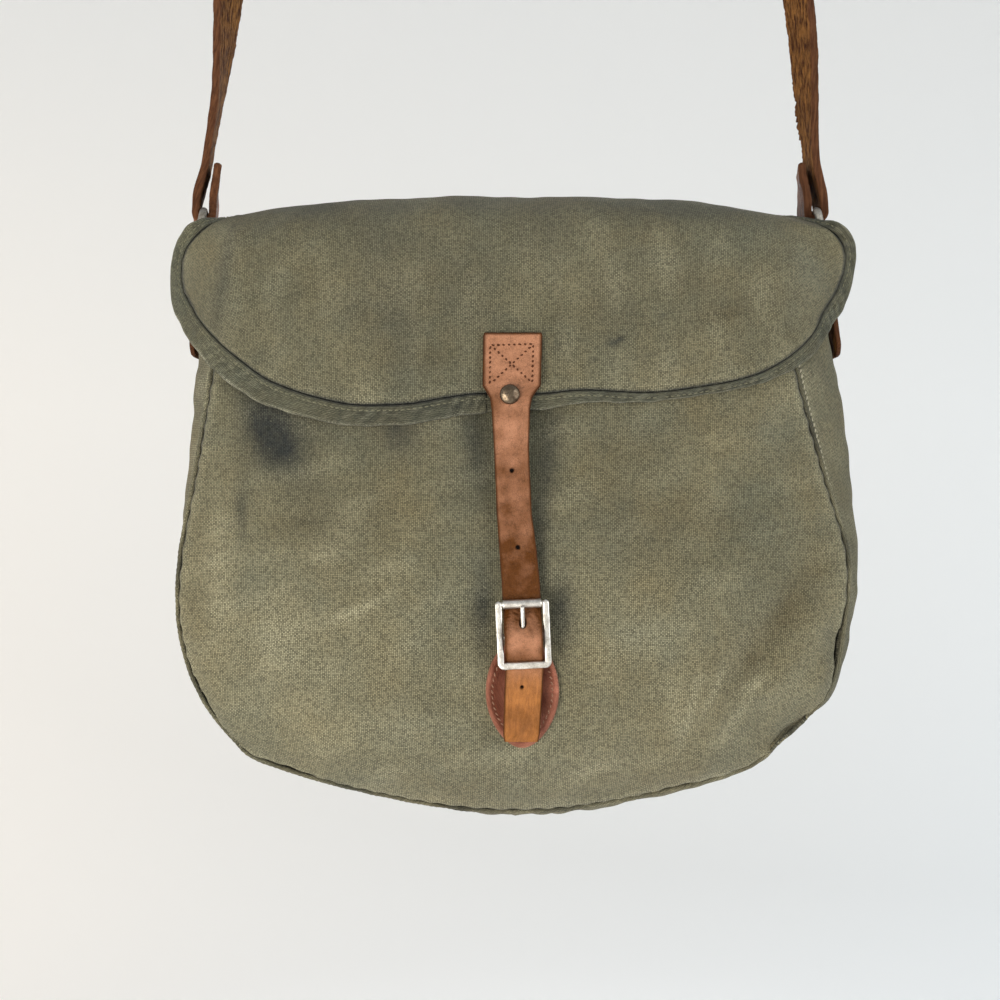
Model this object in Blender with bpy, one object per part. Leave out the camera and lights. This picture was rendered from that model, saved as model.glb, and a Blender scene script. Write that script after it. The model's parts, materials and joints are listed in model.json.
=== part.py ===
"""Canvas satchel that hangs from its leather shoulder strap.

A front panel, a back panel and a gusset make the open bag. A flap with a bound rim covers it,
held down by a leather strap that runs through a roller buckle. A leather tab on each end of the
gusset holds a metal ring, and the shoulder strap is folded round the two rings.

Metres, +Z up, X across the bag, -Y towards the front. The origin is the underside of the
shoulder strap at the top of its loop. Tables and functions work in millimetres, with heights h
above the base of the front panel.
"""

import math

import bmesh
import bpy
import numpy as np

MM = 0.001
BASE_Z = -812
GAP = 0.3
CANVAS = 1.6


def table(names, *rows):
    """A small table, as a dict with an array for each named column."""
    return dict(zip(names.split(), np.array(rows, float).T))


# The bag
SEAM = table(
    "h left right",
    (0, 3, 3),
    (7, -56, 62),
    (21, -110, 115),
    (28.5, -129, 128),
    (36, -137, 134),
    (59, -154, 158),
    (96, -164.5, 167),
    (129, -163.5, 168),
    (171, -156, 156),
    (221, -148, 143),
    (289, -134, 131),
)
MOUTH_H = 289
CORNER_H = 36
BODY = table(
    "h half_depth belly",
    (0, 33, 0),
    (8, 33.8, 8),
    (20, 34.8, 15),
    (45, 36.4, 25),
    (75, 38.6, 30),
    (110, 40, 31),
    (160, 40, 26),
    (210, 39.2, 18.5),
    (250, 38, 12.5),
    (289, 36, 7),
)
BACK_SHARE = 0.17
FLAT_POWER, ROUND_POWER = 2.4, 0.75
GUSSET = table(
    "h left right",
    (0, 7, 8),
    (60, 3.5, 9.5),
    (100, 3.5, 12),
    (127, 5.5, 13.5),
    (157, 10, 19.5),
    (179, 12, 24.5),
    (209, 14.5, 28.5),
    (245, 18.5, 28),
    (289, 22, 25.5),
)
SEAM_SET_BACK = 2.0
SEAM_INSET = 0.3
DENTS = table(
    "x h depth wide tall lean",
    (-112, 178, 3.4, 13, 30, 28),
    (-58, 172, 1.8, 12, 26, 12),
    (92, 168, 2.2, 16, 30, -22),
    (128, 118, 2.0, 12, 26, -18),
    (-122, 96, 1.8, 14, 24, -20),
    (62, 70, 1.4, 16, 20, 10),
)
VALLEY_X, VALLEY_DEPTH, VALLEY_WIDE = 4, 3, 26
VALLEY_H = (28, 60, 200, 226)

# The flap: its profile over the top of the bag, then its lower edge
FLAP = table(
    "y h left right",
    (40.6, 276, 133, 131),
    (40.3, 290, 134, 132),
    (36.8, 302, 135, 133),
    (22, 311.5, 137, 136),
    (-4, 314.5, 139, 138),
    (-16, 313, 141, 142),
    (-25, 310.5, 144, 151),
    (-36, 305, 151, 161),
    (-45.5, 297, 162, 169.5),
    (-52, 281, 167, 171.5),
    (-55, 263, 155, 161),
    (-57.5, 246, 150, 154),
    (-60.5, 228, 147, 151),
    (-63, 210, 146, 150),
    (-64, 196, 145, 149),
)
FLAP_EDGE = table(
    "x h",
    (-160, 254),
    (-152, 245),
    (-142, 235),
    (-131, 225),
    (-119, 216),
    (-105, 210),
    (-92, 206),
    (-78, 203),
    (-62, 202.4),
    (-48, 203),
    (-30, 206),
    (-18, 207.6),
    (14, 207.6),
    (34, 209.5),
    (68, 208.6),
    (95, 212),
    (110, 215),
    (125, 220),
    (140, 229),
    (151, 239),
    (160, 251),
)
DROOP, DROOP_AT, DROOP_POWER = 11.3, 149, 3
FOLLOW_FROM, FOLLOW_TO, FOLLOW_SHARE = -30, -55, 0.9
EAR_TURN, EAR_SOFT = 0.7, 6
RIM = table(
    "along width lift",
    (-2, 6, 8),
    (-1.62, 6, 8),
    (-1.42, 7.5, 0),
    (-1.25, 8.5, 6),
    (-1, 11.5, 10),
    (-0.6, 10.8, 10),
    (-0.3, 10, 8),
    (0, 8.8, 6),
    (0.2, 6.8, 8),
    (0.45, 4.8, 10),
    (0.75, 4.6, 10),
    (1, 6.8, 6),
    (1.25, 8, -8),
    (1.42, 8, -30),
    (1.62, 6, -4),
    (2, 6, 8),
)
RIM_GAP, RIM_THICK = 0.4, 2.0

# The shoulder strap, the rings and their tabs: x is measured outwards from the middle
STRAP_WIDE, STRAP_THICK = 25, 4
WIRE_R = 2.0
BAR_X, BAR_H = 161.5, 307
LOW_BAR_X, LOW_BAR_H = 165, 289
RING_HALF, RING_CORNER = 16, 3.5
STRAP_RUN = table(
    "h left right",
    (316, 165.2, 165),
    (332, 161, 161.4),
    (343, 159.3, 160.2),
    (369, 155.3, 157.8),
    (396, 151.6, 156.2),
    (422, 148.1, 153),
    (480, 138, 142),
    (560, 127, 129),
    (640, 113, 114),
    (715, 93, 93),
    (780, 58, 58),
    (808, 24, 24),
    (814, 0, 0),
)
STRAP_TUCK = table("h x", (333, 155.2), (320, 156.6))
STRAP_YAW = table(
    "h left right",
    (300, -11, -6),
    (343, -11, -2),
    (369, -8, 8),
    (396, 4, 12),
    (422, 14, 14),
    (560, 9, 9),
    (700, 4, 4),
    (814, 0, 0),
)
TAB_THICK = 2.7
TAB_INNER = table("h stand_off", (250, 0), (262, 0), (276, 1.2))
TAB_OUTER = table("h stand_off", (270, 3.1), (252, 3.2), (232, 1.8))
TAB_NIP = 0.6
TAB_YAW_H = (270, 288)

# The closure strap and its buckle
LEATHER = 2.5
CLOSURE_FACE = table(
    "h y",
    (42, -69.5),
    (56, -71.8),
    (70, -73.9),
    (111, -73.5),
    (120, -73.2),
    (135, -72),
    (155, -70.3),
    (175, -68.8),
    (190, -68),
    (200, -67.1),
    (206, -66.3),
    (212, -65.4),
    (219, -64.2),
    (228, -62.2),
    (237, -60.8),
)
CLOSURE_PLAN = table(
    "h x half",
    (42, 5.3, 8),
    (46, 5.4, 8.7),
    (70, 6.4, 9),
    (79.3, 6.85, 9),
    (93, 6.2, 9),
    (108, 5.5, 9),
    (118, 5, 9),
    (134, 3.6, 8.8),
    (150, 2, 8.3),
    (180, 0.7, 8.3),
    (200, 0.4, 9.6),
    (209, 0.6, 10.6),
    (211, 0.8, 14),
    (235, 1.4, 14.2),
    (237, 1.4, 13.2),
)
CLOSURE_UPPER = (237, 235, 226, 218, 211, 209, 203, 196, 188, 178, 168, 158, 148, 138, 128, 119, 112)
CLOSURE_LOWER = (70, 62, 54, 46, 42)
HOLES = table("x h radius", (0.9, 170.6, 1.3), (3.7, 134.3, 1.3), (6, 66, 1.3))
PRONG_SLOT_H, PRONG_SLOT_WIDE = (93.4, 101.8), 3.0
CUT_Y = (-90, -55)

BUCKLE_X, BUCKLE_LEAN = 6.2, -2.7
ROLLER_AT, CENTRE_AT, FOOT_AT = np.array([(-77.2, 108.0), (-76.0, 92.8), (-77.7, 79.3)])
FRAME_HALF, RAIL_WIDE, RAIL_THICK = 12.7, 3.2, 2.4
SHY = 0.05
ROLLER_R, ROLLER_BORE_R, TOP_ROD_R, CENTRE_ROD_R = 2.15, 1.6, 1.3, 1.5
WRAP_GAP = 0.45
PRONG_R, PRONG_LOOP_R, PRONG_TOP_H = 1.05, 2.85, 107.5
CHAPE_THICK, CHAPE_HALF, CHAPE_GAP = 2.0, 7.5, 0.55
CHAPE_TAIL_H, CHAPE_SLOT_H = (62, 72, 82), (87.5, 100)
PATCH_X, PATCH_H, PATCH_HALF, PATCH_UP, PATCH_DOWN = 5.9, 65, 17.5, 26, 28
PATCH_THICK, PATCH_GAP = 2.0, 0.6
RIVET_X, RIVET_H, RIVET_R, RIVET_DOME, RIVET_SHANK_R, RIVET_GAP = -0.1, 206.7, 4.8, 2.2, 1.4, 0.9

CANVAS_LOOK = ((0.19, 0.17, 0.09), 0.9, 0)
RIM_LOOK = ((0.17, 0.16, 0.09), 0.9, 0)
LEATHER_LOOK = ((0.20, 0.09, 0.035), 0.55, 0)
RED_LEATHER_LOOK = ((0.22, 0.075, 0.04), 0.6, 0)
STEEL_LOOK = ((0.55, 0.52, 0.46), 0.4, 1)
BRASS_LOOK = ((0.42, 0.34, 0.22), 0.4, 1)


def smooth(xs, ys, at):
    """A cubic curve through the points (xs, ys), whose slope at each is the mean of its two chords."""
    at = np.clip(np.asarray(at, float), xs[0], xs[-1])
    chord = np.diff(ys) / np.diff(xs)
    slope = np.concatenate([chord[:1], (chord[:-1] + chord[1:]) / 2, chord[-1:]])
    i = np.clip(np.searchsorted(xs, at) - 1, 0, len(xs) - 2)
    width = xs[i + 1] - xs[i]
    t = (at - xs[i]) / width
    ends = ys[i] * (1 + 2 * t) * (1 - t) ** 2 + ys[i + 1] * t * t * (3 - 2 * t)
    return ends + width * t * (1 - t) * (slope[i] * (1 - t) - slope[i + 1] * t)


def ease(low, high, at):
    """0 up to low, 1 from high on, with a soft step between."""
    t = np.clip((np.asarray(at, float) - low) / (high - low), 0, 1)
    return t * t * (3 - 2 * t)


def lengths(points):
    """The distance along a line of points, at each of them."""
    return np.concatenate([[0], np.cumsum(np.linalg.norm(np.diff(points, axis=0), axis=1))])


def curve_through(points, count):
    """Evenly spaced points on a smooth curve through the given ones."""
    points = np.asarray(points, float)
    along = lengths(points)
    at = np.linspace(0, along[-1], count)
    return np.stack([smooth(along, column, at) for column in points.T], axis=1)


def arc(centre, radius, first, last, count):
    """Points on an arc in a plane, its angles in degrees."""
    turn = np.radians(np.linspace(first, last, count))
    return np.asarray(centre) + radius * np.stack([np.cos(turn), np.sin(turn)], axis=1)


def unit(vectors):
    return vectors / np.linalg.norm(vectors, axis=-1, keepdims=True)


# Shape of the bag


def seam_x(h, side):
    """The seam outline's x at height h. It is read by the root of h, in which its round base is even."""
    return smooth(np.sqrt(SEAM["h"]), SEAM["left" if side < 0 else "right"], np.sqrt(np.maximum(h, 0)))


def seam_point(root):
    """x and h on the seam outline, from the root of the height, negative on the left."""
    root = np.asarray(root, float)
    h = root * root
    return np.array([np.where(root < 0, seam_x(h, -1), seam_x(h, 1)), h])


def seam_roots(first, last, count):
    """Roots of the height that divide a stretch of the seam outline evenly."""
    root = np.linspace(first, last, 600)
    along = lengths(seam_point(root).T)
    return np.interp(np.linspace(0, along[-1], count), along, root)


def across(x, h):
    """-1 on the left seam, 0 midway and 1 on the right seam."""
    left, right = seam_x(h, -1), seam_x(h, 1)
    return np.clip((2 * x - left - right) / np.maximum(right - left, 1), -1, 1)


def fullness(x, h):
    """1 in the middle of a panel and 0 on its seams."""
    return (1 - np.abs(across(x, h)) ** FLAT_POWER) ** ROUND_POWER


def dents(x, h):
    """How far the front is pushed in: soft oval dents, and the valley under the closure strap."""
    depth = np.zeros(np.broadcast(x, h).shape)
    for cx, ch, deep, wide, tall, lean in zip(*DENTS.values()):
        turn = math.radians(lean)
        a = (x - cx) * math.cos(turn) + (h - ch) * math.sin(turn)
        b = (h - ch) * math.cos(turn) - (x - cx) * math.sin(turn)
        depth += deep * np.exp(-((a / wide) ** 2) - (b / tall) ** 2)
    low, low_end, high, high_end = VALLEY_H
    stretch = ease(low, low_end, h) * (1 - ease(high, high_end, h))
    return depth + VALLEY_DEPTH * stretch * np.exp(-(((x - VALLEY_X) / VALLEY_WIDE) ** 2))


def body(name, h):
    return smooth(BODY["h"], BODY[name], h)


def front_y(x, h):
    full = fullness(x, h)
    return -body("half_depth", h) - body("belly", h) * full + dents(x, h) * np.sqrt(full)


def back_y(x, h):
    return body("half_depth", h) + BACK_SHARE * body("belly", h) * fullness(x, h)


def panel_plan(columns, rows):
    """x and h over a panel: a grid blended between the straight mouth and the seam round it."""
    corner, top = math.sqrt(CORNER_H), math.sqrt(MOUTH_H)
    u = np.linspace(0, 1, columns)
    v = np.linspace(0, 1, rows)[:, None]
    low = seam_point(seam_roots(-corner, corner, columns))[:, None, :]
    left = seam_point(seam_roots(-corner, -top, rows))[:, :, None]
    right = seam_point(seam_roots(corner, top, rows))[:, :, None]
    sides = (1 - u) * left + u * right
    ends = (1 - u) * left[:, :1] + u * right[:, :1]
    return (1 - v) * (low - ends) + sides


def gusset_point(root, w):
    """The gusset's outer face. It bulges out from the seam, most midway, w = 0, and not at w = -1 or 1."""
    x, h = seam_point(root)
    ahead, behind = seam_point(root + 0.01), seam_point(root - 0.01)
    along = unit((ahead - behind).T)
    left, right = (smooth(GUSSET["h"], GUSSET[name], h) for name in ("left", "right"))
    bulge = np.where(root < 0, left, right)
    out = bulge * (1 - np.abs(w) ** 3) - SEAM_INSET
    y = w * (body("half_depth", h) - SEAM_SET_BACK)
    y = np.broadcast_to(y, x.shape)
    return np.stack([x + out * along[:, 1], y, h - out * along[:, 0]], axis=-1)


def gusset_reach(side, h):
    """How far the middle of the gusset stands out from the middle of the bag, at height h."""
    root = side * np.linspace(math.sqrt(CORNER_H), math.sqrt(MOUTH_H), 200)
    line = gusset_point(root, 0.0)
    return np.interp(h, line[:, 2], np.abs(line[:, 0]))


# Shape of the flap


FLAP_S = lengths(np.stack([FLAP["y"], FLAP["h"]], axis=1))


def flap_recess(x, h):
    """How far the flap lies behind its middle: it follows the front, then turns back past the seam."""
    edge = np.abs(np.where(x < 0, seam_x(h, -1), seam_x(h, 1)))
    curve = 1 - (1 - FOLLOW_SHARE * np.abs(across(x, h)) ** FLAT_POWER) ** ROUND_POWER
    past = np.maximum(np.abs(x) - edge + 2, 0)
    return body("belly", h) * curve + EAR_TURN * (np.hypot(past, EAR_SOFT) - EAR_SOFT)


def flap_at(u, s):
    """The flap's outer face. u runs from its left edge to its right, s is the way along its profile."""
    y = smooth(FLAP_S, FLAP["y"], s)
    half = np.where(u < 0, smooth(FLAP_S, FLAP["left"], s), smooth(FLAP_S, FLAP["right"], s))
    x = u * half
    h = smooth(FLAP_S, FLAP["h"], s) - DROOP * (np.abs(x) / DROOP_AT) ** DROOP_POWER
    follow = ease(-FOLLOW_FROM, -FOLLOW_TO, -y)
    return np.stack([x, y + follow * flap_recess(x, h), h], axis=-1)


def flap_length(u):
    """The way along the profile at which a column of the flap meets the lower edge."""
    s = np.linspace(FLAP_S[-1] * 0.55, FLAP_S[-1], 400)
    line = flap_at(np.full(s.shape, u), s)
    return np.interp(0, smooth(FLAP_EDGE["x"], FLAP_EDGE["h"], line[:, 0]) - line[:, 2], s)


def flap_grid(columns, rows):
    u = np.linspace(-1, 1, columns)
    length = np.array([flap_length(value) for value in u])
    v = np.linspace(0, 1, rows)[:, None]
    return flap_at(np.broadcast_to(u, (rows, columns)), v * length)


# Making objects


def place(points):
    """Millimetres with heights above the base, to metres from the origin."""
    return (np.asarray(points, float) + (0, 0, BASE_Z)) * MM


def material(name, look):
    colour, roughness, metallic = look
    made = bpy.data.materials.new(name)
    made.use_nodes = True
    shader = made.node_tree.nodes["Principled BSDF"]
    shader.inputs["Base Color"].default_value = (*colour, 1)
    shader.inputs["Roughness"].default_value = roughness
    shader.inputs["Metallic"].default_value = metallic
    return made


def add_object(name, points, faces, look, closed=True):
    """An object from metre points and faces. A closed one gets its faces turned outwards."""
    mesh = bpy.data.meshes.new(name)
    mesh.from_pydata(np.asarray(points).tolist(), [], [list(map(int, face)) for face in faces])
    if closed:
        bm = bmesh.new()
        bm.from_mesh(mesh)
        bmesh.ops.recalc_face_normals(bm, faces=bm.faces)
        bm.to_mesh(mesh)
        bm.free()
    mesh.shade_smooth()
    mesh.set_sharp_from_angle(angle=math.radians(45))
    mesh.materials.append(material(name, look))
    made = bpy.data.objects.new(name, mesh)
    bpy.context.scene.collection.objects.link(made)
    return made


def grid_faces(rows, columns, wrap_rows=False, wrap_columns=False):
    """Four-sided faces over a grid of points numbered row by row."""
    i, j = np.meshgrid(
        np.arange(rows if wrap_rows else rows - 1),
        np.arange(columns if wrap_columns else columns - 1),
        indexing="ij",
    )
    row, next_row = i * columns, (i + 1) % rows * columns
    next_j = (j + 1) % columns
    return np.stack([row + j, row + next_j, next_row + next_j, next_row + j], -1).reshape(-1, 4)


def sheet(name, grid, thick, look):
    """A wall with the grid as its outer face, given with its faces outwards. Its thickness goes inwards."""
    rows, columns = grid.shape[:2]
    made = add_object(name, place(grid.reshape(-1, 3)), grid_faces(rows, columns), look, closed=False)
    thicken(made, thick)
    return made


def thicken(made, thick):
    wall = made.modifiers.new("wall", "SOLIDIFY")
    wall.thickness = thick * MM
    wall.offset = -1


def swept(name, sections, look, loop=False):
    """A solid through rows of section points, with its ends capped unless it closes on itself."""
    rows, columns = sections.shape[:2]
    faces = [list(face) for face in grid_faces(rows, columns, wrap_rows=loop, wrap_columns=True)]
    if not loop:
        faces += [list(range(columns)), list(range((rows - 1) * columns, rows * columns))]
    return add_object(name, place(sections.reshape(-1, 3)), faces, look)


def ribbon_sections(path, wide, face, half, thick):
    """Four corners at each point of a path, from its width and face directions."""
    half = np.broadcast_to(half, len(path))[:, None]
    corners = [(1, 1), (-1, 1), (-1, -1), (1, -1)]
    return np.stack([path + a * half * wide + b * thick / 2 * face for a, b in corners], axis=1)


def wire_sections(path, first, second, radius, sides):
    """Round sections along a path, in the plane of two directions."""
    turn = 2 * np.pi * np.arange(sides) / sides
    ring = np.cos(turn)[:, None] * first[:, None, :] + np.sin(turn)[:, None] * second[:, None, :]
    return path[:, None, :] + radius * ring


def rod(name, start, end, radius, look, sides=16):
    """A plain cylinder between two points."""
    start, end = np.asarray(start, float), np.asarray(end, float)
    along = unit(end - start)
    first = unit(np.cross(along, (0.3, 0.5, 0.8)))
    ends = np.stack([start, end])
    first, second = np.tile(first, (2, 1)), np.tile(np.cross(along, first), (2, 1))
    return swept(name, wire_sections(ends, first, second, radius, sides), look)


def block(name, low, high, look, bevel=0.0):
    """A box between two corners, its edges rounded by a bevel."""
    corners = [(a, b, c) for a in (0, 1) for b in (0, 1) for c in (0, 1)]
    low, high = np.asarray(low, float), np.asarray(high, float)
    points = [low + (high - low) * corner for corner in corners]
    faces = [(0, 1, 3, 2), (4, 6, 7, 5), (0, 4, 5, 1), (2, 3, 7, 6), (0, 2, 6, 4), (1, 5, 7, 3)]
    made = add_object(name, place(points), faces, look)
    if bevel:
        edges = made.modifiers.new("edges", "BEVEL")
        edges.width = bevel * MM
        edges.segments = 1
    return made


def combine(made, other, operation):
    """A Boolean with another object, which stays as a hidden guide."""
    step = made.modifiers.new(other.name, "BOOLEAN")
    step.operation = operation
    step.object = other
    other.hide_render = True
    other.display_type = "WIRE"


# The pieces


def make_panels():
    x, h = panel_plan(25, 15)
    sheet("body_front", np.stack([x, front_y(x, h), h], axis=-1), CANVAS, CANVAS_LOOK)
    x, h = panel_plan(19, 12)
    sheet("body_back", np.stack([x, back_y(x, h), h], axis=-1)[:, ::-1], CANVAS, CANVAS_LOOK)


def make_gusset():
    """The strip between the two panels, from one end of the mouth round the base to the other."""
    top = math.sqrt(MOUTH_H)
    root = seam_roots(-top, top, 45)
    grid = np.stack([gusset_point(root, w) for w in np.linspace(-1, 1, 9)])
    sheet("body_gusset", grid[::-1], CANVAS, CANVAS_LOOK)


def make_flap():
    grid = flap_grid(24, 26)
    sheet("flap", grid[::-1], CANVAS, CANVAS_LOOK)
    return grid


def flap_border(grid):
    """The flap's edge from its left back corner round the front: points, normals and places along it."""
    normal = unit(np.cross(np.gradient(grid, axis=1), np.gradient(grid, axis=0)))
    rows, columns = grid.shape[:2]
    side = np.linspace(-2, -1, rows)
    along = np.concatenate([side, np.linspace(-1, 1, columns)[1:-1], -side[::-1]])
    i = np.concatenate([np.arange(rows), np.full(columns - 2, rows - 1), np.arange(rows)[::-1]])
    j = np.concatenate([np.zeros(rows, int), np.arange(1, columns - 1), np.full(rows, columns - 1)])
    return grid[i, j], -normal[i, j], along


def make_rim(grid):
    """The binding along the flap's edge: a narrow strip that carries on from it, a little bent."""
    edge, normal, along = flap_border(grid)
    tangent = unit(np.gradient(edge, axis=0))
    out = unit(np.cross(tangent, normal))
    lift = np.radians(smooth(RIM["along"], RIM["lift"], along))[:, None]
    width = smooth(RIM["along"], RIM["width"], along)[:, None]
    b = np.cos(lift) * out - np.sin(lift) * normal
    n = np.cos(lift) * normal + np.sin(lift) * out
    inner = RIM_GAP + np.abs(np.sin(lift))
    half = RIM_THICK / 2
    middle = edge - CANVAS / 2 * normal
    section = [(inner, half), (width - 0.6, half), (width, 0), (width - 0.6, -half), (inner, -half)]
    swept("flap_rim", np.stack([middle + a * b + c * n for a, c in section], axis=1), RIM_LOOK)


def turned(points, side, yaw):
    """Points and directions turned about the upright line through a ring's upper bar."""
    yaw = np.broadcast_to(np.radians(yaw), len(points))
    sine, cosine = np.sin(yaw), np.cos(yaw)
    x, y = np.abs(points[:, 0]) - BAR_X, points[:, 1]
    moved = np.stack([side * (BAR_X + x * cosine - y * sine), y * cosine + x * sine, points[:, 2]], axis=1)
    return moved, np.stack([-side * sine, cosine, np.zeros(len(points))], axis=1)


def flat_path(side, plan):
    """Points from outward x and h, in the upright plane Y = 0."""
    plan = np.asarray(plan)
    return np.stack([side * plan[:, 0], np.zeros(len(plan)), plan[:, 1]], axis=1)


def strap_side(side):
    """The shoulder strap from its tucked end, round the ring's upper bar and up to the top."""
    radius = WIRE_R + GAP + STRAP_THICK / 2
    tuck = np.stack([STRAP_TUCK["x"], STRAP_TUCK["h"]], axis=1)
    fold = arc((BAR_X, BAR_H), radius, 180, 360, 9)
    name = "left" if side < 0 else "right"
    run = np.stack([STRAP_RUN[name], STRAP_RUN["h"]], axis=1)
    run = curve_through(np.concatenate([fold[-1:], run]), 44)[1:]
    path = flat_path(side, np.concatenate([tuck, fold, run]))
    return turned(path, side, smooth(STRAP_YAW["h"], STRAP_YAW[name], path[:, 2]))


def make_shoulder_strap():
    left, left_wide = strap_side(-1)
    right, right_wide = strap_side(1)
    path = np.concatenate([left, right[-2::-1]])
    wide = np.concatenate([left_wide, right_wide[-2::-1]])
    face = unit(np.cross(wide, np.gradient(path, axis=0)))
    swept("shoulder_strap", ribbon_sections(path, wide, face, STRAP_WIDE / 2, STRAP_THICK), LEATHER_LOOK)


def make_ring(name, side):
    """A rounded rectangle of wire, whose long bars lie across the strap."""
    low, high = np.array([LOW_BAR_X, LOW_BAR_H]), np.array([BAR_X, BAR_H])
    tall = np.linalg.norm(high - low) / 2
    line = []
    for a, b, first in ((1, 1, 0), (-1, 1, 90), (-1, -1, 180), (1, -1, 270)):
        centre = (a * (RING_HALF - RING_CORNER), b * (tall - RING_CORNER))
        line.append(arc(centre, RING_CORNER, first, first + 90, 4))
    line = np.concatenate(line)
    up = unit(high - low)
    plan = (low + high) / 2 + line[:, 1:] * up
    path = np.stack([side * plan[:, 0], line[:, 0], plan[:, 1]], axis=1)
    yaw = STRAP_YAW["left" if side < 0 else "right"][0]
    path, wide = turned(path, side, yaw)
    outward = unit(path - path.mean(axis=0))
    tangent = unit(np.roll(path, -1, axis=0) - np.roll(path, 1, axis=0))
    flat = unit(np.cross(wide, (path[0] + path[3] - path[8] - path[11]) / 2))
    in_plane = unit(np.cross(tangent, flat))
    in_plane *= np.sign((in_plane * outward).sum(axis=1, keepdims=True))
    swept(name, wire_sections(path, in_plane, flat, WIRE_R, 8), STEEL_LOOK, loop=True)


def make_tab(name, side):
    """A leather loop over the ring's lower bar, one leg on the gusset and one standing off it."""
    rest = GAP + TAB_THICK / 2
    inner_x = gusset_reach(side, TAB_INNER["h"]) + rest + TAB_INNER["stand_off"]
    inner = np.stack([inner_x, TAB_INNER["h"]], axis=1)
    over = arc((LOW_BAR_X, LOW_BAR_H), WIRE_R + GAP + TAB_THICK / 2, 180, 0, 9)
    outer_x = gusset_reach(side, TAB_OUTER["h"]) + rest + TAB_OUTER["stand_off"]
    outer_x[0] = max(outer_x[0], over[-1, 0] - TAB_NIP)
    outer = np.stack([outer_x, TAB_OUTER["h"]], axis=1)
    rising = curve_through([*inner, over[0]], 8)[:-1]
    falling = curve_through([over[-1], *outer], 9)[1:]
    path = flat_path(side, np.concatenate([rising, over, falling]))
    yaw = STRAP_YAW["left" if side < 0 else "right"][0] * ease(*TAB_YAW_H, path[:, 2])
    path, wide = turned(path, side, yaw)
    face = unit(np.cross(wide, np.gradient(path, axis=0)))
    swept(name, ribbon_sections(path, wide, face, STRAP_WIDE / 2, TAB_THICK), LEATHER_LOOK)


def crossing(first, radius, second, other_radius, turn):
    """The angle at which a strap leaves one round bar to cross to the far side of the next."""
    away = second - first
    lean = math.acos((radius + other_radius) / np.linalg.norm(away))
    return math.degrees(math.atan2(away[1], away[0]) + turn * lean)


def closure_line():
    """The closure strap in side view, y and h.

    It comes down the flap, passes behind the roller, over the middle bar and behind the foot bar.
    """
    behind_roller = ROLLER_R + WRAP_GAP + LEATHER / 2
    over_centre = PRONG_LOOP_R + PRONG_R + WRAP_GAP + LEATHER / 2
    behind_foot = math.hypot(RAIL_THICK, RAIL_WIDE) / 2 + LEATHER / 2
    upper = np.array([(smooth(CLOSURE_FACE["h"], CLOSURE_FACE["y"], h), h) for h in CLOSURE_UPPER])
    lower = np.array([(smooth(CLOSURE_FACE["h"], CLOSURE_FACE["y"], h), h) for h in CLOSURE_LOWER])
    leave_roller = crossing(ROLLER_AT, behind_roller, CENTRE_AT, over_centre, 1)
    leave_centre = crossing(CENTRE_AT, over_centre, FOOT_AT, behind_foot, -1)
    return np.concatenate(
        [
            upper,
            arc(ROLLER_AT, behind_roller, 0, leave_roller, 4),
            arc(CENTRE_AT, over_centre, leave_roller + 180, leave_centre + 360, 9),
            arc(FOOT_AT, behind_foot, leave_centre + 180, 0, 4),
            lower,
        ]
    )


def make_closure_strap():
    line = closure_line()
    x = np.interp(line[:, 1], CLOSURE_PLAN["h"], CLOSURE_PLAN["x"])
    half = np.interp(line[:, 1], CLOSURE_PLAN["h"], CLOSURE_PLAN["half"])
    path = np.stack([x, line[:, 0], line[:, 1]], axis=1)
    wide = np.tile((1.0, 0, 0), (len(path), 1))
    along = np.gradient(path, axis=0) * (0, 1, 1)
    face = unit(np.cross(wide, along))
    strap = swept("closure_strap", ribbon_sections(path, wide, face, half, LEATHER), LEATHER_LOOK)
    front, back = CUT_Y
    for x, h, radius in [*zip(*HOLES.values()), (RIVET_X, RIVET_H, RIVET_SHANK_R + GAP)]:
        hole = rod("strap_hole", (x, front, h), (x, back, h), radius, LEATHER_LOOK, 12)
        combine(strap, hole, "DIFFERENCE")
    low, high = PRONG_SLOT_H
    middle = np.interp((low + high) / 2, CLOSURE_PLAN["h"], CLOSURE_PLAN["x"])
    half = PRONG_SLOT_WIDE / 2
    slot = block("strap_slot", (middle - half, front, low), (middle + half, back, high), LEATHER_LOOK)
    combine(strap, slot, "DIFFERENCE")


def make_rivet():
    """A domed head on the closure strap, its shank through the strap."""
    face = smooth(CLOSURE_FACE["h"], CLOSURE_FACE["y"], RIVET_H)
    head_y = face - LEATHER / 2 - RIVET_GAP
    shank_y = face + LEATHER / 2
    turn = np.radians(np.linspace(0, 90, 6))
    profile = [(0, shank_y), (RIVET_SHANK_R, shank_y), (RIVET_SHANK_R, head_y), (RIVET_R, head_y)]
    profile += [(RIVET_R * math.cos(t), head_y - 0.3 - RIVET_DOME * math.sin(t)) for t in turn]
    turned_solid("closure_rivet", profile, (RIVET_X, RIVET_H), 20, BRASS_LOOK)


def turned_solid(name, profile, axis, sides, look):
    """A solid turned about a line along Y. The profile is of radius and y, its ends on the axis."""
    turn = 2 * np.pi * np.arange(sides) / sides
    points, faces = [], []
    for radius, y in profile[1:-1]:
        points += [(axis[0] + radius * math.cos(t), y, axis[1] + radius * math.sin(t)) for t in turn]
    rows = len(profile) - 2
    faces += [list(face) for face in grid_faces(rows, sides, wrap_columns=True)]
    for (_, y), row in ((profile[0], 0), (profile[-1], rows - 1)):
        points.append((axis[0], y, axis[1]))
        hub = len(points) - 1
        faces += [(hub, row * sides + k, row * sides + (k + 1) % sides) for k in range(sides)]
    return add_object(name, place(points), faces, look)


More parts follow.
